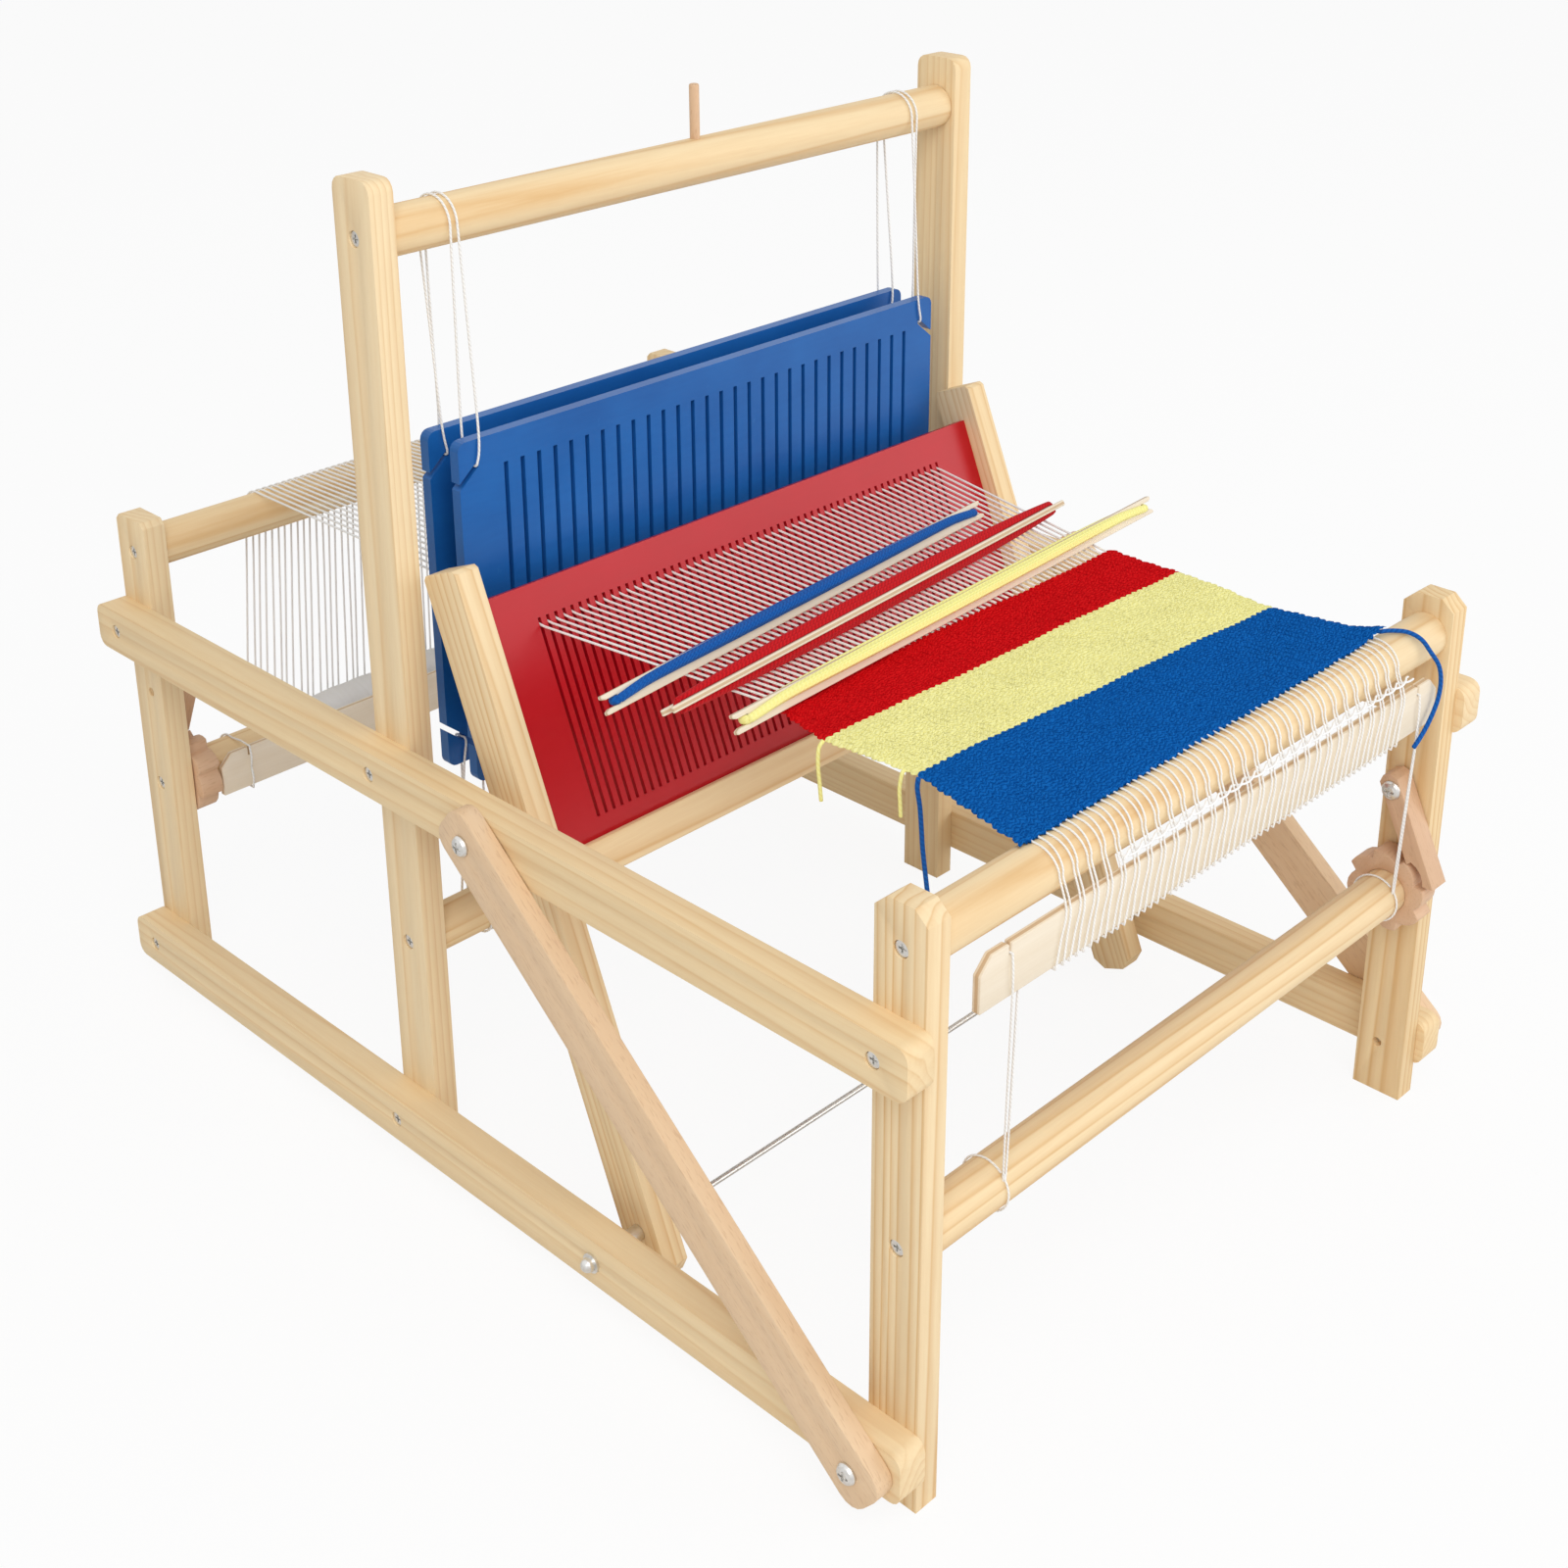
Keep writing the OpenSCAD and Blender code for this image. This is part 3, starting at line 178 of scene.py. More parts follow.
class Finish:
    """One material, or the world's light. The node method adds any node, and surface
    links what varies over a material."""

    def __init__(self, name, world=None, **constants):
        self.material = world or bpy.data.materials.new(name)
        self.material.use_nodes = True
        self.tree = self.material.node_tree
        self.shader = self.tree.nodes["Background" if world else "Principled BSDF"]
        self.fill(self.shader, {k.replace("_", " "): v for k, v in constants.items()})

    def fill(self, node, values):
        for key, value in values.items():
            if isinstance(value, Wire):
                self.tree.links.new(value.socket, node.inputs[key])
            else:
                node.inputs[key].default_value = value

    def node(self, kind, settings=None, values=None, out=0):
        made = self.tree.nodes.new(kind)
        for key, value in (settings or {}).items():
            if key == "stops":
                ramp = made.color_ramp
                for k in (1, 0):
                    ramp.elements[k].position = value[-k][0]
                    ramp.elements[k].color = (*value[-k][1], 1)
                for place, colour in value[1:-1]:
                    ramp.elements.new(place).color = (*colour, 1)
            else:
                setattr(made, key, value)
        self.fill(made, values or {})
        return Wire(self, made.outputs[out])

    def mix(self, share, first, second):
        colours = {6: first, 7: second}
        for key, value in colours.items():
            if isinstance(value, tuple):
                colours[key] = (*value, 1)
        return self.node("ShaderNodeMix", {"data_type": "RGBA"}, {0: share, **colours}, out=2)

    def noise(self, place, scale, detail=3.0, rough=0.5):
        return self.node("ShaderNodeTexNoise", {},
                         {"Vector": place, "Scale": scale, "Detail": detail, "Roughness": rough})

    def surface(self, colour, rough, relief=None, depth=0.0, strength=1.0):
        self.fill(self.shader, {"Base Color": colour, "Roughness": rough})
        if relief is not None:
            bump = self.node("ShaderNodeBump", {}, {"Strength": strength, "Distance": depth,
                                                   "Height": relief})
            self.fill(self.shader, {"Normal": bump})
        return self.material


def yarn_finish(name, dark, light, plies, lay, depth=0.0002):
    """Twisted yarn: plies slant round the thread once in each lay mm, with loose fibre."""
    f = Finish(name, Sheen_Weight=0.06, Sheen_Roughness=0.6, Specular_IOR_Level=0.12)
    uv = f.node("ShaderNodeUVMap", {"uv_map": "UVMap"})
    u = f.node("ShaderNodeSeparateXYZ", {}, {0: uv})
    v = f.node("ShaderNodeSeparateXYZ", {}, {0: uv}, out=1)
    fibre = f.noise(f.node("ShaderNodeTexCoord", out=3), 1400.0, 4.0, 0.7)
    wave = f.node("ShaderNodeMath", {"operation": "SINE"},
                  {0: (u * plies + v / lay) * 2 * math.pi})
    ridge = wave * 0.5 + 0.5
    # Painted shade: the colour is darker in the grooves between the plies, where the ridge is low,
    # and lighter on their crests; the fibre noise is the yarn's own uneven tone.
    fibre_and_painted_shading = ridge * 0.5 + fibre * 0.6 - 0.05
    colour = f.node("ShaderNodeValToRGB", {"stops": [(0.0, dark), (0.7, light)]}, {0: fibre_and_painted_shading})
    return f.surface(colour, fibre * 0.15 + 0.8, ridge * 0.8 + fibre * 0.4, depth, 0.6)


blue_wool = yarn_finish("blue_wool", (0.002, 0.05, 0.27), (0.006, 0.12, 0.46), 2, 2.6)
left_route = eased(from_edge(-1, 2, [
    (-2.4, -3, 0.1), (-3, -3, -4.9), (-1.2, -3, -13.9), (0, -3, -23.9),
    (1, -3, -33.9), (2.5, -3, -43.9), (4, -3, -52.9), (5, -3, -58.9)]), 4)
right_route = eased(from_edge(1, 3, [
    (1, 1, 0.6), (5.5, -2.5, 0.8), (11.5, -8, -0.2), (15.5, -13.5, -3.7),
    (18.5, -17.5, -10.2), (22, -20.5, -17.2), (23.5, -21.7, -25.2), (23, -21.7, -34.2),
    (18.5, -21.7, -42.2), (11.5, -21.7, -49.2), (3.5, -21.7, -54.2)]), 4)
yarn_radius = 1.1
for name, node, route in (("left_blue_yarn_tail", "left_blue_tail", left_route),
                          ("right_blue_yarn_tail", "right_blue_tail", right_route)):
    tail = spun(name, [route], yarn_radius, 10)
    tail.data.materials.append(blue_wool)
    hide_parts(node)
    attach(tail, "frame")
    length = sum((b - a).length for a, b in zip(route, route[1:])) * mm
    route[0] * mm
    [p * mm for p in route]


# Posts. Six pine bars stand in two side frames: short ones at the front and the back and
# tall ones that carry the heddles. They are planed, with the edges broken by sandpaper
# and the tops cut off at a slant or rounded. The grain runs up each of them.
def pine(name, turn, pith, ring=4.2, warm=0.0, bold=1.0):
    """Planed pine. turn (degrees about X, Y, Z) brings the grain to Z. pith is where the
    tree's centre lies, in mm, so that each piece has its own lines; ring is the width of
    a year, warm yellows the wood and bold darkens the lines."""
    f = Finish(name, Specular_IOR_Level=0.3)
    place = f.node("ShaderNodeMapping", {}, {
        "Vector": f.node("ShaderNodeTexCoord", out=3),
        "Rotation": [math.radians(t) for t in turn]})
    a = f.node("ShaderNodeSeparateXYZ", {}, {0: place}) * 1000 - pith[0]
    b = f.node("ShaderNodeSeparateXYZ", {}, {0: place}, out=1) * 1000 - pith[1]
    along = f.node("ShaderNodeMapping", {}, {"Vector": place, "Scale": (1, 1, 0.045),
                                             "Location": (pith[0] * 0.013, pith[1] * 0.017, 0)})
    drift = f.noise(along, 30.0, 2.0)
    fine = f.noise(along, 1500.0, 4.0, 0.65)
    thread = f.noise(along, 420.0, 3.0, 0.6)
    patch = f.noise(along, 70.0, 3.0)
    far = f.node("ShaderNodeMath", {"operation": "SQRT"}, {0: a * a + b * b})
    turned = f.node("ShaderNodeMath", {"operation": "FRACT"}, {0: far / ring + drift * 4.5})
    line = f.node("ShaderNodeValToRGB", {"stops": [
        (0.0, (0.05,) * 3), (0.30, (0.10,) * 3), (0.68, (0.50,) * 3),
        (0.84, (1.0,) * 3), (0.95, (0.20,) * 3), (1.0, (0.05,) * 3)]}, {0: turned})
    amount = line * (patch * 0.8 + 0.22) * bold + thread * 0.45 + fine * 0.2 - 0.30
    pale = (0.92 - warm * 0.04, 0.735 - warm * 0.07, 0.465 - warm * 0.09)
    colour = f.mix(f.node("ShaderNodeClamp", {}, {0: amount}), pale, (0.71, 0.42, 0.165))
    return f.surface(colour, fine * 0.18 + 0.5, fine * 0.7 + line * 0.3, 0.00012, 0.35)


def softened(node, name, width, segments=2):
    """A copy of a CAD node as one closed mesh with its sharp edges rounded off."""
    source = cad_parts[node]
    piece = bpy.data.objects.new(name, source.data.copy())
    bpy.context.scene.collection.objects.link(piece)
    piece.data.transform(source.matrix_world)
    piece.data.materials.clear()
    bpy.ops.object.select_all(action="DESELECT")
    piece.select_set(True)
    bpy.context.view_layer.objects.active = piece
    bpy.ops.object.mode_set(mode="EDIT")
    bpy.ops.mesh.select_all(action="SELECT")
    bpy.ops.mesh.remove_doubles(threshold=0.000005)
    bpy.ops.mesh.dissolve_limited(angle_limit=math.radians(1))
    bpy.ops.mesh.normals_make_consistent(inside=False)
    bpy.ops.object.mode_set(mode="OBJECT")
    rounding = piece.modifiers.new("rounding", "BEVEL")
    rounding.width, rounding.segments = width * mm, segments
    rounding.limit_method, rounding.angle_limit = "ANGLE", math.radians(35)
    bpy.ops.object.modifier_apply(modifier="rounding")
    bpy.ops.object.shade_smooth_by_angle(angle=math.radians(35))
    piece.select_set(False)
    return piece


def fit_out(piece, material, node, body, slot):
    """Gives a piece its material, hides the node it stands for, hangs it on its body. slot is
    unused.
    """
    piece.data.materials.clear()
    piece.data.materials.append(material)
    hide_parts(node)
    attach(piece, body)
    return piece


for node, pith, warm, bold in (
        ("left_rear_post", (-231, 262), 0.2, 0.65), ("right_rear_post", (170, 250), 0.6, 0.65),
        ("left_shaft_post", (-250, 30), 0.0, 0.65), ("right_shaft_post", (214, 92), 0.5, 0.65),
        ("left_front_post", (-176, -330), 0.1, 1.1), ("right_front_post", (238, -300), 0.7, 1.1)):
    wood = pine(node + "_pine", (0, 0, 0), pith, 4.0, warm, bold)
    fit_out(softened(node, node + "_wood", 0.9), wood, node, "frame", "pine")


# Rails. Two pine rails on the outside of each side frame tie its three posts. Their ends
# run a little past the posts and are rounded off; sunk wood screws go through them.
for node, pith, warm in (
        ("left_upper_rail", (-260, -190), 0.5), ("right_upper_rail", (240, -260), 0.3),
        ("left_lower_rail", (-190, -10), 0.3), ("right_lower_rail", (180, -60), 0.6)):
    wood = pine(node + "_pine", (90, 0, 0), pith, 4.6, warm, 0.6)
    fit_out(softened(node, node + "_wood", 1.1), wood, node, "frame", "pine")


# Braces. A flat beech bar slants down each side from the upper rail to the foot of the
# front post and stiffens the frame. Its ends are rounded and it hangs on two screws.
def beech(name, turn, shift=0.0, tone=0.0):
    """Plain beech, pinker and darker as tone rises, with short flecks along the grain."""
    f = Finish(name, Specular_IOR_Level=0.3)
    place = f.node("ShaderNodeMapping", {}, {
        "Vector": f.node("ShaderNodeTexCoord", out=3), "Location": (shift, shift, shift),
        "Rotation": [math.radians(t) for t in turn]})
    long_way = f.node("ShaderNodeMapping", {}, {"Vector": place, "Scale": (1, 1, 0.06)})
    streak = f.noise(long_way, 120.0, 4.0, 0.6)
    fleck = f.noise(f.node("ShaderNodeMapping", {}, {"Vector": place, "Scale": (1, 1, 0.14)}),
                    1100.0, 2.0, 0.5)
    spots = f.node("ShaderNodeValToRGB",
                   {"stops": [(0.56, (0.0,) * 3), (0.68, (1.0,) * 3)]}, {0: fleck})
    colour = f.mix(streak, (0.75 - 0.12 * tone, 0.50 - 0.14 * tone, 0.29 - 0.08 * tone),
                   (0.88 - 0.12 * tone, 0.67 - 0.15 * tone, 0.45 - 0.10 * tone))
    colour = f.mix(spots * 0.3, colour, (0.50, 0.28, 0.15))
    return f.surface(colour, streak * 0.1 + 0.45, spots * 0.4 + fleck * 0.4, 0.0001, 0.3)


brace_slant = 50.15
for node, shift in (("left_brace", 0.11), ("right_brace", 0.43)):
    wood = beech(node + "_beech", (brace_slant, 0, 0), shift)
    fit_out(softened(node, node + "_wood", 1.3), wood, node, "frame", "beech")


# Beams, rollers and handle. Six turned pine bars of one thickness lie across the loom: two
# fixed beams, two rollers that carry the heddles, and the warp and cloth rollers. A thin
# beech peg stands in the top roller and turns it.
for node, body, pith, warm in (
        ("back_beam", "frame", (-250, 290), 0.4), ("breast_beam", "frame", (-262, -270), 0.2),
        ("top_roller", "top_roller", (-470, 70), 0.3),
        ("lower_heddle_roller", "lower_roller", (-150, 30), 0.5),
        ("warp_roller", "warp_drum", (-110, 300), 0.5),
        ("cloth_roller", "cloth_drum", (-140, -250), 0.2)):
    wood = pine(node + "_pine", (0, -90, 0), pith, 4.8, warm)
    fit_out(softened(node, node + "_wood", 0.6), wood, node, body, "pine")
fit_out(softened("roller_handle", "roller_handle_wood", 0.5),
        beech("handle_beech", (0, 0, 0), 0.3, 0.5), "roller_handle", "top_roller", "beech")


# Ratchets and pawls. A toothed beech wheel is glued on one end of the warp roller and of
# the cloth roller, and a hanging beech pawl on a screw holds each of them.
for node, body, turn, width in (
        ("cloth_ratchet", "cloth_drum", (0, 90, 0), 0.5),
        ("warp_ratchet", "warp_drum", (0, 90, 0), 0.5),
        ("cloth_pawl", "cloth_pawl", (25, 0, 0), 0.7),
        ("warp_pawl", "warp_pawl", (-25, 0, 0), 0.7)):
    fit_out(softened(node, node + "_wood", width), beech(node + "_beech", turn, 0.2, 0.8),
            node, body, "beech")


# Screws and axle. Countersunk wood screws hold the rails and beams and carry the turning
# bars; pan head screws hold the braces and pawls; a thin rod is the beater's axle. All are
# zinc-plated steel, and the rod is a little duller than the screws.
def zinc(name, dull=0.0):
    f = Finish(name, Metallic=1.0)
    place = f.node("ShaderNodeTexCoord", out=3)
    blot, scuff = f.noise(place, 500.0, 3.0), f.noise(place, 2600.0, 2.0)
    colour = f.mix(blot, (0.62 - dull, 0.60 - dull, 0.56 - dull),
                   (0.86 - dull, 0.86 - dull, 0.85 - dull))
    return f.surface(colour, scuff * 0.22 + 0.22, scuff, 0.00005, 0.25)


plating, rod_steel = zinc("zinc_plating"), zinc("rod_steel", 0.1)
for node in ("frame_screws", "pan_screws", "top_roller_screws", "lower_roller_screws",
             "warp_roller_screws", "cloth_roller_screws", "axle_fittings"):
    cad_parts[node].data.materials[0] = plating
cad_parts["batten_axle"].data.materials[0] = rod_steel


# Beater. Two pine arms swing on the axle rod. A pine crossbar joins them, and the red reed
# stands in its groove: a thin painted board with a slot for every thread.
beater_lean = 22.4
for node, turn, pith, ring, warm in (
        ("left_batten_arm", (beater_lean, 0, 0), (-205, -150), 4.2, 0.2),
        ("right_batten_arm", (beater_lean, 0, 0), (165, -160), 4.2, 0.5),
        ("batten_crossbar", (0, -90, 0), (-200, -60), 4.0, 0.3)):
    wood = pine(node + "_pine", turn, pith, ring, warm)
    fit_out(softened(node, node + "_wood", 1.0), wood, node, "batten", "pine")


def painted(name, body, thin, worn):
    """Satin paint on thin board: darker where it is thin and paler at a few worn spots."""
    f = Finish(name, Specular_IOR_Level=0.32)
    place = f.node("ShaderNodeTexCoord", out=3)
    drawn = f.node("ShaderNodeMapping", {}, {"Vector": place, "Scale": (0.15, 1, 1)})
    brush = f.noise(drawn, 400.0, 4.0)
    cloud = f.noise(place, 20.0, 3.0)
    peel = f.noise(place, 1500.0, 2.0)
    cover = f.node("ShaderNodeValToRGB", {"stops": [(0.30, (0.0,) * 3), (0.75, (1.0,) * 3)]},
                   {0: brush * 0.2 + cloud * 0.8})
    colour = f.mix(cover, thin, body)
    scar = f.node("ShaderNodeValToRGB", {"stops": [(0.66, (0.0,) * 3), (0.74, (1.0,) * 3)]},
                  {0: f.noise(place, 160.0, 5.0, 0.7)})
    colour = f.mix(scar * 0.15, colour, worn)
    return f.surface(colour, brush * 0.06 + 0.30, peel * 0.7 + brush * 0.15, 0.00005, 0.15)


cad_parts["reed"].data.materials[0] = painted(
    "red_paint", (0.53, 0.004, 0.013), (0.47, 0.003, 0.009), (0.64, 0.04, 0.055))


# Heddle boards. Two thin boards painted blue hang between the tall posts. Each has slots
# for one half of the threads and small eyes for the other half.
blue_paint = painted("blue_paint", (0.014, 0.145, 0.48), (0.009, 0.105, 0.38), (0.06, 0.24, 0.58))
for node in ("front_heddle", "back_heddle"):
    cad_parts[node].data.materials[0] = blue_paint


# Heddle cords. A loop of thin white cord on each side hangs both boards from the top
# roller, and another ties them to the lower roller. The turns round the rollers stay on
# them.
cotton_cord = yarn_finish("cotton_cord", (0.72, 0.70, 0.66), (0.97, 0.96, 0.94), 2, 2.2, 0.00012)
board_front, board_back, roller_y, top_axis, low_axis = 30.6, 53.0, 46, 484.0, 127.0
top_slit, low_slit = 371.0, 222.0
cord_off, cord_x, cord_gap, cord_radius, roll = 4.0, 155.0, 2.0, 0.58, 12.5


def cord_leg(side, up, front):
    """The two strands from a board's slit to the roller, with the turn through the slit."""
    slit, axis = (top_slit, top_axis) if up > 0 else (low_slit, low_axis)
    y = board_front if front else board_back
    out = -1 if front else 1
    routes = []
    for place, lean in ((-cord_gap, out), (cord_gap, -out)):
        x = side * (cord_x + place)
        end_y = roller_y + out * roll
        routes.append(eased([
            (side * cord_x, y + lean * 0.4, slit + up * 0.1),
            (side * cord_x, y + lean * cord_off, slit + up * 1.5),
            (x, y + lean * (cord_off - 0.3), slit + up * 16),
            (x, (y + lean * cord_off + end_y) / 2, (slit + axis) / 2 + up * 8),
            (x, end_y, axis)], 6))
    return routes


for up, row in ((1, "upper"), (-1, "lower")):
    axis = top_axis if up > 0 else low_axis
    node = row + "_heddle_cords"
    for front, name, body in ((True, "front", "front_shaft"), (False, "back", "back_shaft")):
        legs = spun(f"{row}_{name}_cord_legs",
                    cord_leg(-1, up, front) + cord_leg(1, up, front), cord_radius)
        legs.data.materials.append(cotton_cord)
        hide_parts(node)
        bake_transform(legs)
    turns = spun(f"{row}_cord_turns", [
        [(s * (cord_x + p), roller_y + roll * math.cos(math.radians(a)),
          axis + up * roll * math.sin(math.radians(a))) for a in range(186, -7, -12)]
        for s in (-1, 1) for p in (-cord_gap, cord_gap)], cord_radius)
    turns.data.materials.append(cotton_cord)
    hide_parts(node)
    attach(turns, "frame")


# Wound warp. The spare warp lies round the warp roller, thread beside thread, in a thick
# uneven layer.
warp_roller_z = 128


def wound_sleeve():
    """The layer as one closed sleeve whose profile has a rib for each thread."""
    verts, faces, uvs = [], [], []
    half, pitch, sides, bore, valley, crest = 134.0, 1.15, 40, 11.7, 14.55, 15.25
    rings = int(2 * half / pitch)
    profile = [(-half, bore)]
    for i in range(rings):
        x = -half + (i + 0.5) * pitch
        swell = (0.25 * math.sin(i * 0.31) + 0.2 * math.sin(i * 0.113 + 1)
                 + random.uniform(-0.12, 0.12))
        profile += [(x - pitch / 2 + 0.05, valley + swell), (x, crest + swell)]
    profile.append((half, bore))
    for x, r in profile:
        for k in range(sides):
            a = 2 * math.pi * k / sides
            lift = r if r < 12 else r + 0.12 * math.sin(3 * a + x * 0.2)
            verts.append(Vector((x, beam_y + lift * math.cos(a),
                                 warp_roller_z + lift * math.sin(a))) * mm)
    for i in range(len(profile) - 1):
        for k in range(sides):
            a, b = i * sides + k, i * sides + (k + 1) % sides
            faces.append((a, a + sides, b + sides, b))
            uvs += [(profile[i][0], k * 2.4), (profile[i + 1][0], k * 2.4),
                    (profile[i + 1][0], (k + 1) * 2.4), (profile[i][0], (k + 1) * 2.4)]
    ring_a = list(range(sides))
    ring_b = list(range((len(profile) - 1) * sides, len(profile) * sides))
    faces += [tuple(ring_a[::-1]), tuple(ring_b)]
    uvs += [(0, 0)] * (2 * sides)
    mesh = bpy.data.meshes.new("wound_warp_threads")
    mesh.from_pydata(verts, [], faces)
    mesh.uv_layers.new(name="UVMap").data.foreach_set("uv", [x for uv in uvs for x in uv])
    mesh.polygons.foreach_set("use_smooth", [True] * (len(mesh.polygons) - 2) + [False] * 2)
    piece = bpy.data.objects.new("wound_warp_threads", mesh)
    bpy.context.scene.collection.objects.link(piece)
    return piece


def wound_finish():
    """White cotton with a slightly different shade in every turn."""
    f = Finish("wound_cotton", Sheen_Weight=0.2, Specular_IOR_Level=0.2)
    place = f.node("ShaderNodeTexCoord", out=3)
    fibre = f.noise(place, 1200.0, 4.0, 0.7)
    stretched = f.node("ShaderNodeMapping", {}, {"Vector": place, "Scale": (1, 0.08, 0.08)})
    colour = f.mix(f.noise(stretched, 420.0, 3.0) * 0.6 + fibre * 0.45, (0.84, 0.82, 0.78),
                   (1.0, 0.99, 0.97))
    return f.surface(colour, fibre * 0.1 + 0.85, fibre, 0.00015, 0.6)


fit_out(wound_sleeve(), wound_finish(), "wound_warp", "warp_drum", "white_cotton")


# Warp threads. Fifty-eight white cotton threads run from the cloth through the reed and
# the heddles, over the back beam and down to the warp roller. Every second one goes through
# an eye of the front board, the others through the eyes of the back board.
cotton = yarn_finish("warp_cotton", (0.78, 0.755, 0.71), (0.98, 0.97, 0.95), 2, 1.6, 0.00008)
threads, pitch, thread_radius, bend = 58, 5, 0.6, 12.4
reed_y, level_y, fell_y = -1.05, 60.0, -129.1
fell_spread, beam_spread, wound_spread = 240, 242, 264


def across(j, width):
    """Where thread j lies when all of them share this width evenly."""
    return (j / (threads - 1) - 0.5) * width


def thread_x(j):
    return pitch * j - 142.5


def line(a, b, steps):
    return [Vector(a).lerp(Vector(b), k / steps) for k in range(steps + 1)]


for first, name, body, y in (
        (0, "even", "front_shaft", board_front), (1, "odd", "back_shaft", board_back)):
    fore, aft = [], []
    for j in range(first, threads, 2):
        eye = (thread_x(j), y, warp_z(y))
        reed = (thread_x(j), reed_y, warp_z(reed_y))
        fell = (fell_middle + across(j, fell_spread), fell_y, warp_z(fell_y))
        fore.append(line(fell, reed, 14) + line(reed, eye, 5)[1:])
        rest = (thread_x(j), level_y, warp_z(level_y))
        arc = [Vector((across(j, beam_spread), beam_y + bend * math.cos(math.radians(a)),
                       beam_z + bend * math.sin(math.radians(a)))) for a in range(90, -1, -10)]
        aft.append(line(eye, rest, 2) + line(rest, arc[0], 14)[1:] + arc[1:])
    front = spun(f"{name}_warp_before_heddles", fore, thread_radius, 6)
    back = spun(f"{name}_warp_behind_heddles", aft, thread_radius, 6)
    for piece, start in ((front, -0.045), (back, 0.262)):
        piece.data.materials.append(cotton)
        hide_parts("warp_threads")
        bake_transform(piece)
curtain, steps, wound_radius = [], 8, 16.4
for j in range(threads):
    sway = 0.8 * math.sin(j * 1.7) + random.uniform(-0.5, 0.5)
    top = Vector((across(j, beam_spread), beam_y + bend, beam_z))
    foot = Vector((across(j, wound_spread) + sway, beam_y + wound_radius, warp_roller_z))
    curtain.append([
        point + Vector((0.5 * math.sin(j + k * 0.7) * (k / steps) * (1 - k / steps), 0, 0))
        for k, point in enumerate(line(top, foot, steps))])
fit_out(spun("rear_warp_curtain", curtain, thread_radius, 6), cotton, "rear_warp", "frame",
        "white_cotton")


# Cloth. Three stripes of plain weave in thick wool, red at the last woven line, then pale
# yellow, then blue at the front beam. The weft covers the warp, the stripes meet in small
# teeth, and the edges wave where the weft turns round.
def woven(name, i, rows, per=6):
    """Stripe i as one closed mesh, one map unit to a rib across and to a row along. The
    front right corner is lifted a little by the yarn that leaves it."""
    ribs, steps = threads, rows * 2
    cols = ribs * per
    ends = [(border_end(-1, i + k), border_end(1, i + k)) for k in (0, 1)]
    top, low, faces = [], [], []
    teeth = [random.uniform(0.5, 1.5) for _ in range(ribs + 1)]
    for j in range(steps + 1):
        f = j / steps
        (xl, dl), (xr, dr) = [tuple((1 - f) * a + f * b for a, b in zip(ends[0][s], ends[1][s]))
                              for s in (0, 1)]
        turn = (1.2 * abs(math.sin(j * math.pi / 4)) + 0.5 * math.sin(j * 0.55 + 3 * i)
                + random.uniform(-0.35, 0.35))
        for c in range(cols + 1):
            u = c / cols
            x, d = xl + (xr - xl) * u, dl + (dr - dl) * u
            rim = min(1.0, min(c, cols - c) / 4)
            x += turn * (2 * u - 1) * (1 - rim)
            d += 0.5 * teeth[c // per] * math.cos(2 * math.pi * c / per)
            if i == 2 and j == steps:
                d += random.uniform(-0.2, 1.1)
            bead = abs(math.sin(math.pi * (c / per + 0.5 * (j // 2))))
            relief = 0.52 + 0.16 * bead + 0.45 * (j % 2) + random.uniform(-0.16, 0.16)
            z = warp_z(-d) + (0.2 + 0.6 * rim) * relief
            z += 0.35 * math.sin(x * 0.045 + d * 0.11) + 0.2 * math.sin(x * 0.13 - d * 0.21)
            lift = math.exp(-((x - xr) / 12) ** 2 - ((d - borders[-1]) / 9) ** 2) * 3.2
            top.append(Vector((x + 0.6 * lift, -d, z + lift)) * mm)
            low.append(Vector((x + 0.6 * lift, -d, warp_z(-d) - 0.7 * rim - 0.1 + lift)) * mm)
    span, count = cols + 1, len(top)
    for j in range(steps):
        for c in range(cols):
            a = j * span + c
            quad = (a, a + span, a + span + 1, a + 1)
            faces.append(quad)
            faces.append(tuple(q + count for q in reversed(quad)))
    rim = ([(c, c + 1) for c in range(cols)]
           + [(j * span + cols, (j + 1) * span + cols) for j in range(steps)]
           + [(steps * span + c + 1, steps * span + c) for c in range(cols - 1, -1, -1)]
           + [((j + 1) * span, j * span) for j in range(steps - 1, -1, -1)])
    faces += [(a, b, b + count, a + count) for a, b in rim]
    mesh = bpy.data.meshes.new(name)
    mesh.from_pydata(top + low, [], faces)
    layer = mesh.uv_layers.new(name="UVMap")
    for loop in mesh.loops:
        v = loop.vertex_index % count
        layer.data[loop.index].uv = ((v % span) / per, (v // span) / 2)
    mesh.polygons.foreach_set("use_smooth", [True] * len(mesh.polygons))
    piece = bpy.data.objects.new(name, mesh)
    bpy.context.scene.collection.objects.link(piece)
    return piece


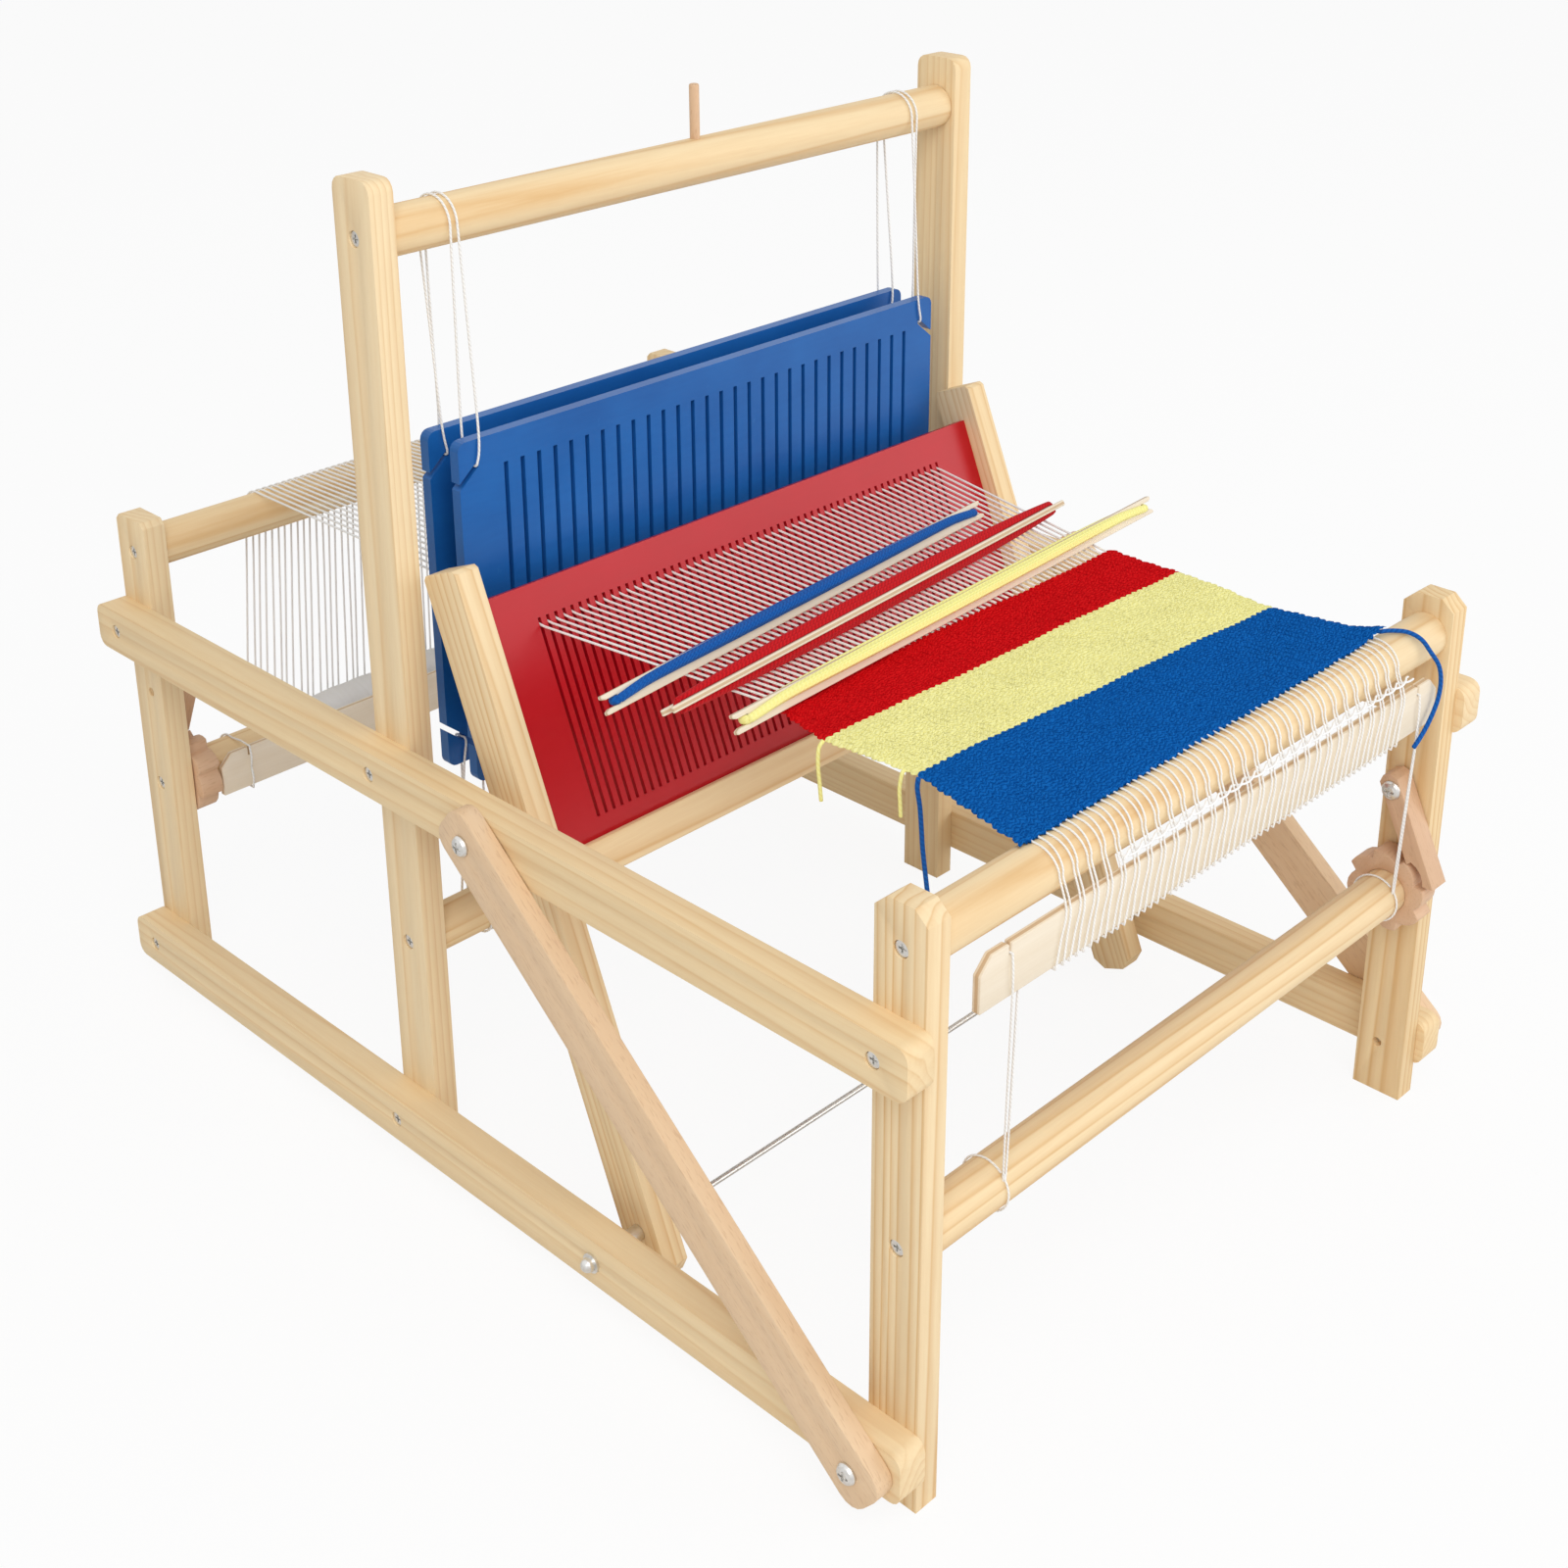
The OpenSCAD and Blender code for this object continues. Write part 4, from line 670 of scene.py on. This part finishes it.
def weft_finish(name, dark, light, bright):
    """Weft-faced plain weave on the cloth's own map. Each stitch lies a little aslant over
    one rib, and the stitches of the next row are shifted by half of one."""
    f = Finish(name, Specular_IOR_Level=0.02)
    uv = f.node("ShaderNodeUVMap", {"uv_map": "UVMap"})
    fibre = f.noise(f.node("ShaderNodeTexCoord", out=3), 1500.0, 4.0, 0.7)
    uneven = f.noise(f.node("ShaderNodeTexCoord", out=3), 320.0, 3.0, 0.7)
    u = f.node("ShaderNodeSeparateXYZ", {}, {0: uv}) + uneven * 2.2
    v = f.node("ShaderNodeSeparateXYZ", {}, {0: uv}, out=1) + uneven * 2.0
    row = f.node("ShaderNodeMath", {"operation": "FLOOR"}, {0: v})
    part = f.node("ShaderNodeMath", {"operation": "FRACT"}, {0: u + row * 0.5})
    slant = f.node("ShaderNodeMath", {"operation": "FRACT"}, {0: v + part * 0.45})
    high = f.node("ShaderNodeMath", {"operation": "SINE"}, {0: slant * math.pi})
    wide = f.node("ShaderNodeMath", {"operation": "SINE"}, {0: part * math.pi})
    # Painted shade and highlight: the colour runs from dark in the hollows between stitches to
    # bright on their crests, following the height of the relief; the fibre noise is the wool's own
    # uneven tone.
    height = high ** 0.7 * 0.72 + wide ** 0.5 * 0.16 + uneven * 0.12
    fibre_and_painted_shading = height * 0.75 + fibre * 0.45 - 0.14
    colour = f.node("ShaderNodeValToRGB",
                    {"stops": [(0.1, dark), (0.55, light), (1.0, bright)]}, {0: fibre_and_painted_shading})
    return f.surface(colour, fibre * 0.12 + 0.85, height + fibre * 0.3, 0.0007, 0.6)


# Colours of each stripe: dark is painted shade in the hollows, light is the wool's own colour and
# bright is a painted highlight on the crests.
for i, name, node, rows, dark, light, bright, slot in (
        (0, "red_cloth", "red_stripe", 21, (0.36, 0.0, 0.002), (0.66, 0.004, 0.008),
         (0.78, 0.02, 0.02), "red_wool"),
        (1, "yellow_cloth", "yellow_stripe", 28, (0.92, 0.82, 0.22), (1.0, 0.95, 0.37),
         (1.0, 0.98, 0.52), "yellow_wool"),
        (2, "blue_cloth", "blue_stripe", 31, (0.001, 0.032, 0.18), (0.003, 0.10, 0.41),
         (0.014, 0.19, 0.60), "blue_wool")):
    piece = woven(name, i, rows)
    fit_out(piece, weft_finish(name + "_weave", dark, light, bright), node, "frame", slot)
    width = sum(border_end(1, i + k)[0] - border_end(-1, i + k)[0] for k in (0, 1)) / 2
    length = (borders[i + 1] - borders[i]) / math.cos(math.atan(warp_slope))
    width * mm
    length * mm


# Yellow yarn tails. Two short ends of the yellow weft stick out of the left edge.
yellow_wool = yarn_finish("yellow_wool", (0.92, 0.84, 0.26), (0.99, 0.95, 0.38), 2, 2.6)
tails = [from_edge(-1, 1, [(-1, -0.5, 0.2), (-3.8, -0.5, -2.4), (-4.3, -0.5, -10.4),
                           (-3.3, -0.5, -19.4), (-2.3, -0.5, -28.4)]),
         from_edge(-1, 2, [(-2.1, 5, 0.6), (-3.7, 5, -0.5), (-5.1, 5, -6.9),
                           (-4.6, 5, -13.9), (-4.1, 5, -20.9)])]
fit_out(spun("yellow_yarn_tails", [eased(t, 5) for t in tails], 0.9, 10), yellow_wool,
        "yellow_tails", "frame", "yellow_wool")


# Tie sticks. Two thin plywood laths hold the warp's ends: one in the loops before the
# breast beam, and one on the warp roller. Two corners are cut off and a slit near each
# end takes the tie.
stick_y, stick_face, stick_t = -290.4, -293.3, 4.0
warp_stick_y = 258.2


def ply(name, turn, thick_axis, middle, thick):
    """Sanded plywood: straight pale grain on the faces and a darker core in the edges."""
    f = Finish(name, Specular_IOR_Level=0.3)
    place = f.node("ShaderNodeMapping", {"vector_type": "TEXTURE"}, {
        "Vector": f.node("ShaderNodeTexCoord", out=3), "Location": [m * mm for m in middle],
        "Rotation": [math.radians(t) for t in turn]})
    long_way = f.node("ShaderNodeMapping", {}, {"Vector": place, "Scale": (0.04, 1, 1)})
    streak, fine = f.noise(long_way, 160.0, 3.0, 0.6), f.noise(long_way, 1500.0, 3.0, 0.6)
    depth = f.node("ShaderNodeSeparateXYZ", {}, {0: place}, out=thick_axis)
    core = f.node("ShaderNodeMath", {"operation": "ABSOLUTE"}, {0: depth * (1000 / thick)})
    inner = f.node("ShaderNodeMath", {"operation": "LESS_THAN"}, {0: core, 1: 0.2})
    colour = f.mix(streak * 0.7 + fine * 0.4, (0.78, 0.65, 0.47), (0.93, 0.84, 0.70))
    colour = f.mix(inner * 0.75, colour, (0.58, 0.38, 0.20))
    return f.surface(colour, fine * 0.15 + 0.5, fine, 0.0001, 0.3)


fit_out(softened("cloth_stick", "cloth_stick_wood", 0.4),
        ply("cloth_stick_ply", (0, 0, 0), 1, (0, stick_y, 245), stick_t),
        "cloth_stick", "frame", "plywood")
fit_out(softened("warp_stick", "warp_stick_wood", 0.4),
        ply("warp_stick_ply", (0, 0, 0), 1, (0, warp_stick_y, warp_roller_z), stick_t),
        "warp_stick", "warp_drum", "pine")


# Front loops. The warp threads come out of the cloth in loops that pass over the breast
# beam in pairs, down over the face of the cloth stick and round under it.
pair_pitch, middle_pair = 266 / 29, 14
loops = []
for j in range(threads):
    pair = front_middle + (j // 2 - middle_pair) * pair_pitch
    s = -1 if j % 2 == 0 else 1
    xf, xs = pair + s * pair_pitch / 4, pair + s * 1.1
    low = pair - 5 + s * pair_pitch / 4 + random.uniform(-0.5, 0.5)
    loops.append(eased(
        [(xf, -273.0, beam_top)]
        + [(xf + (xs - xf) * (a - 90) / 90, bend * math.cos(math.radians(a)) - beam_y,
            beam_z + bend * math.sin(math.radians(a))) for a in range(90, 181, 15)]
        + [(xs * 0.8 + low * 0.2, stick_face, 257.0), (xs * 0.4 + low * 0.6, stick_face, 245.0),
           (low, stick_face, 233.2), (low, -292.4, 232.2), (low, -289, 232.2),
           (low, -287.7, 233.5), (low, -287.7, 240)], 3))
fit_out(spun("front_warp_loops", loops, 0.47, 6), cotton, "warp_loops", "frame",
        "white_cotton")


# Twined cord. A doubled bright white cord is twined through the pairs between the beam and
# the stick and spaces them.
bright = yarn_finish("bright_cotton", (0.85, 0.85, 0.85), (0.99, 0.99, 0.99), 2, 1.6, 0.00006)
swing, rise, twine_y, twine_z, first_pair = 1.45, 0.9, -290.8, 263.5, 4
twine_x = front_middle + (first_pair - middle_pair) * pair_pitch
strands = []
for k in (0, 1):
    points = []
    for i in range(76):
        a = math.radians(60 * i + 180 * k)
        points.append((twine_x + i * pair_pitch / 3, twine_y - swing * math.cos(a),
                       twine_z + rise * math.sin(a)))
    strands.append(eased(points, 3))
fit_out(spun("twined_white_cord", strands, 0.52, 7), bright, "twined_cord", "frame",
        "white_cotton")


# Ties. White strings run from the slits of the cloth stick to a ring round the cloth
# roller, and belts of the same string bind the other stick to the warp roller.
tie_x, tie_bend, cloth_roller_z = 154.0, 12.4, 129


def round_bar(x, y, z, degrees):
    """Points on a turn of string round a bar."""
    return [(x, tie_bend * math.cos(math.radians(a)) + y, tie_bend * math.sin(math.radians(a)) + z)
            for a in degrees]


ties, belts = [], []
for s in (-1, 1):
    x0, xr = s * tie_x, s * tie_x + 10
    knot_y = (tie_bend + 1.5) * math.cos(math.radians(135)) - beam_y
    knot_z = cloth_roller_z + (tie_bend + 1.5) * math.sin(math.radians(135))
    ties.append(eased([
        (x0, stick_y, 253), (x0, stick_face + 0.3, 253), (x0 + 0.3, stick_face, 251),
        (x0 + 1, stick_face, 232), (xr - 1, knot_y, knot_z + 4), (xr, knot_y, knot_z),
        (xr + 1, knot_y, knot_z + 4), (x0 + 8, stick_y, 231.8)], 5))
    ties.append(round_bar(xr, -beam_y, cloth_roller_z, range(137, 490, 11)))
    y0 = warp_stick_y - stick_t / 2 - 0.3 - 0.6
    belts.append(eased([(s * tie_x, y0, 128.2), (s * tie_x, y0, 141.3)]
                       + round_bar(s * tie_x, beam_y, warp_roller_z, range(105, -106, -21))
                       + [(s * tie_x, y0, 114.7), (s * tie_x, y0, 127.8)], 2))
fit_out(spun("cloth_stick_strings", ties, 0.5, 8), cotton_cord, "cloth_stick_ties", "frame",
        "white_cotton")
fit_out(spun("warp_stick_belts", belts, 0.6, 8), cotton_cord, "warp_stick_ties", "warp_drum",
        "white_cotton")


# Shuttles. Three narrow plywood sticks with a notch in each end lie across the warp, each
# wound lengthwise with the yarn of one stripe: blue, red and yellow from the back. They
# have rolled over on their yarn, so each lies at a tilt of its own.
def lie_on_warp(node, angle, tilt):
    """The shuttle's own frame: its middle, in mm, and how it is turned."""
    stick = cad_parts[node]
    middle = sum((stick.matrix_world @ Vector(c) for c in stick.bound_box), Vector()) / 8
    return (Matrix.Translation(middle / mm) @ Matrix.Rotation(math.atan(warp_slope), 4, "X")
            @ Matrix.Rotation(math.radians(angle), 4, "Z")
            @ Matrix.Rotation(math.radians(tilt), 4, "X"))


def winding(length, shift, spread, high, deep):
    """The yarn's route: it runs along one face, through the notch and back along the
    other, and each turn lies beside or upon the last, most of all at the middle. The
    bundle lies shift off the stick's middle, spread wider there, and its rows stand high
    on the upper face and deep on the lower one."""
    notch, first_row = 9, 2.43
    end, route = length / 2 - notch, []
    places = [(c - (n - 1) / 2, row) for row, n in enumerate((7, 6, 5, 3)) for c in range(n)]
    for c, row in places:
        wobble = random.uniform(-0.2, 0.2)
        for k in range(44):
            if k <= 16:
                x, face, turned = end * (k / 8 - 1), 1, 0
            elif k <= 22:
                x, face, turned = end, 1, (k - 16) * 180 / 7
            elif k <= 38:
                x, face, turned = end * (1 - (k - 22) / 8), -1, 0
            else:
                x, face, turned = -end, -1, (k - 38) * 180 / 6
            b, wide = 1 - abs(x / end) ** 2.8, 1 - abs(x / end) ** 12
            h = first_row + 0.22 * row + b * row * (high if face > 0 else deep)
            y = c * (0.39 + spread * b) + shift * wide + wobble * b
            if turned:
                a = math.radians(90 - turned if face > 0 else -90 - turned)
                route.append(Vector((x + h * math.cos(a), y, h * math.sin(a))))
            else:
                route.append(Vector((x, y, h * face)))
    return eased(route, 2)


red_wool = yarn_finish("red_wool", (0.34, 0.0, 0.004), (0.62, 0.006, 0.012), 2, 2.6)
shuttle_t = 3.0
for name, length, angle, tilt, shift, spread, high, deep, wool in (
        ("blue", 288, 5.4, 58, 2.0, 0.26, 0.8, 0.8, blue_wool),
        ("red", 306, 4.8, -32, 0.3, 0.35, 0.95, 0.75, red_wool),
        ("yellow", 330, 3.6, 66, 1.9, 0.40, 0.9, 0.8, yellow_wool)):
    body = name + "_shuttle"
    lie = lie_on_warp(body, angle, tilt)
    fit_out(softened(body, body + "_wood", 0.5),
            ply(name + "_shuttle_ply", [math.degrees(a) for a in lie.to_euler()], 2,
                lie.translation, shuttle_t), body, body, "plywood")
    route = [lie @ p for p in winding(length, shift, spread, high, deep)]
    fit_out(spun(name + "_shuttle_winding", [route], 0.88, 7), wool, name + "_yarn", body,
            name + "_wool")


# Stage. A plain white floor under soft, even studio light.
bpy.ops.mesh.primitive_plane_add(size=40, location=(0, 0, 0))
floor = bpy.context.object
floor.name = "floor"
f = Finish("white_floor", Specular_IOR_Level=0.0, Roughness=0.95, Base_Color=(0.9, 0.9, 0.9, 1))
glow = f.node("ShaderNodeEmission", {}, {"Color": (1, 1, 1, 1), "Strength": 1.0})
both = f.node("ShaderNodeMixShader", {}, {0: f.node("ShaderNodeLightPath") * 0.9,
                                          1: Wire(f, f.shader.outputs[0]), 2: glow})
f.fill(f.tree.nodes["Material Output"], {"Surface": both})
floor.data.materials.append(f.material)
bpy.context.scene.world = bpy.data.worlds.new("studio")
w = Finish("studio", bpy.context.scene.world, Color=(1, 1, 1, 1), Strength=0.58)
shown = w.node("ShaderNodeBackground", {}, {"Color": (1, 1, 1, 1), "Strength": 1.0})
seen = w.node("ShaderNodeMath", {"operation": "MAXIMUM"}, {
    0: w.node("ShaderNodeLightPath"), 1: w.node("ShaderNodeLightPath", out=3)})
both = w.node("ShaderNodeMixShader", {}, {0: seen, 1: Wire(w, w.shader.outputs[0]), 2: shown})
w.fill(w.tree.nodes["World Output"], {"Surface": both})
for name, place, aim, size, power in (("key", (-1.2, -1.6, 2.2), (0, 0, 0.2), 1.6, 31),
                                      ("fill", (1.9, -2.1, 0.9), (0, 0, 0.28), 1.8, 20)):
    bpy.ops.object.light_add(type="AREA", location=place)
    lamp = bpy.context.object
    lamp.name = name
    lamp.data.size = size
    lamp.data.energy = power
    lamp.rotation_euler = (Vector(aim) - Vector(place)).to_track_quat("-Z", "Y").to_euler()
bpy.context.scene.view_settings.view_transform = "Standard"
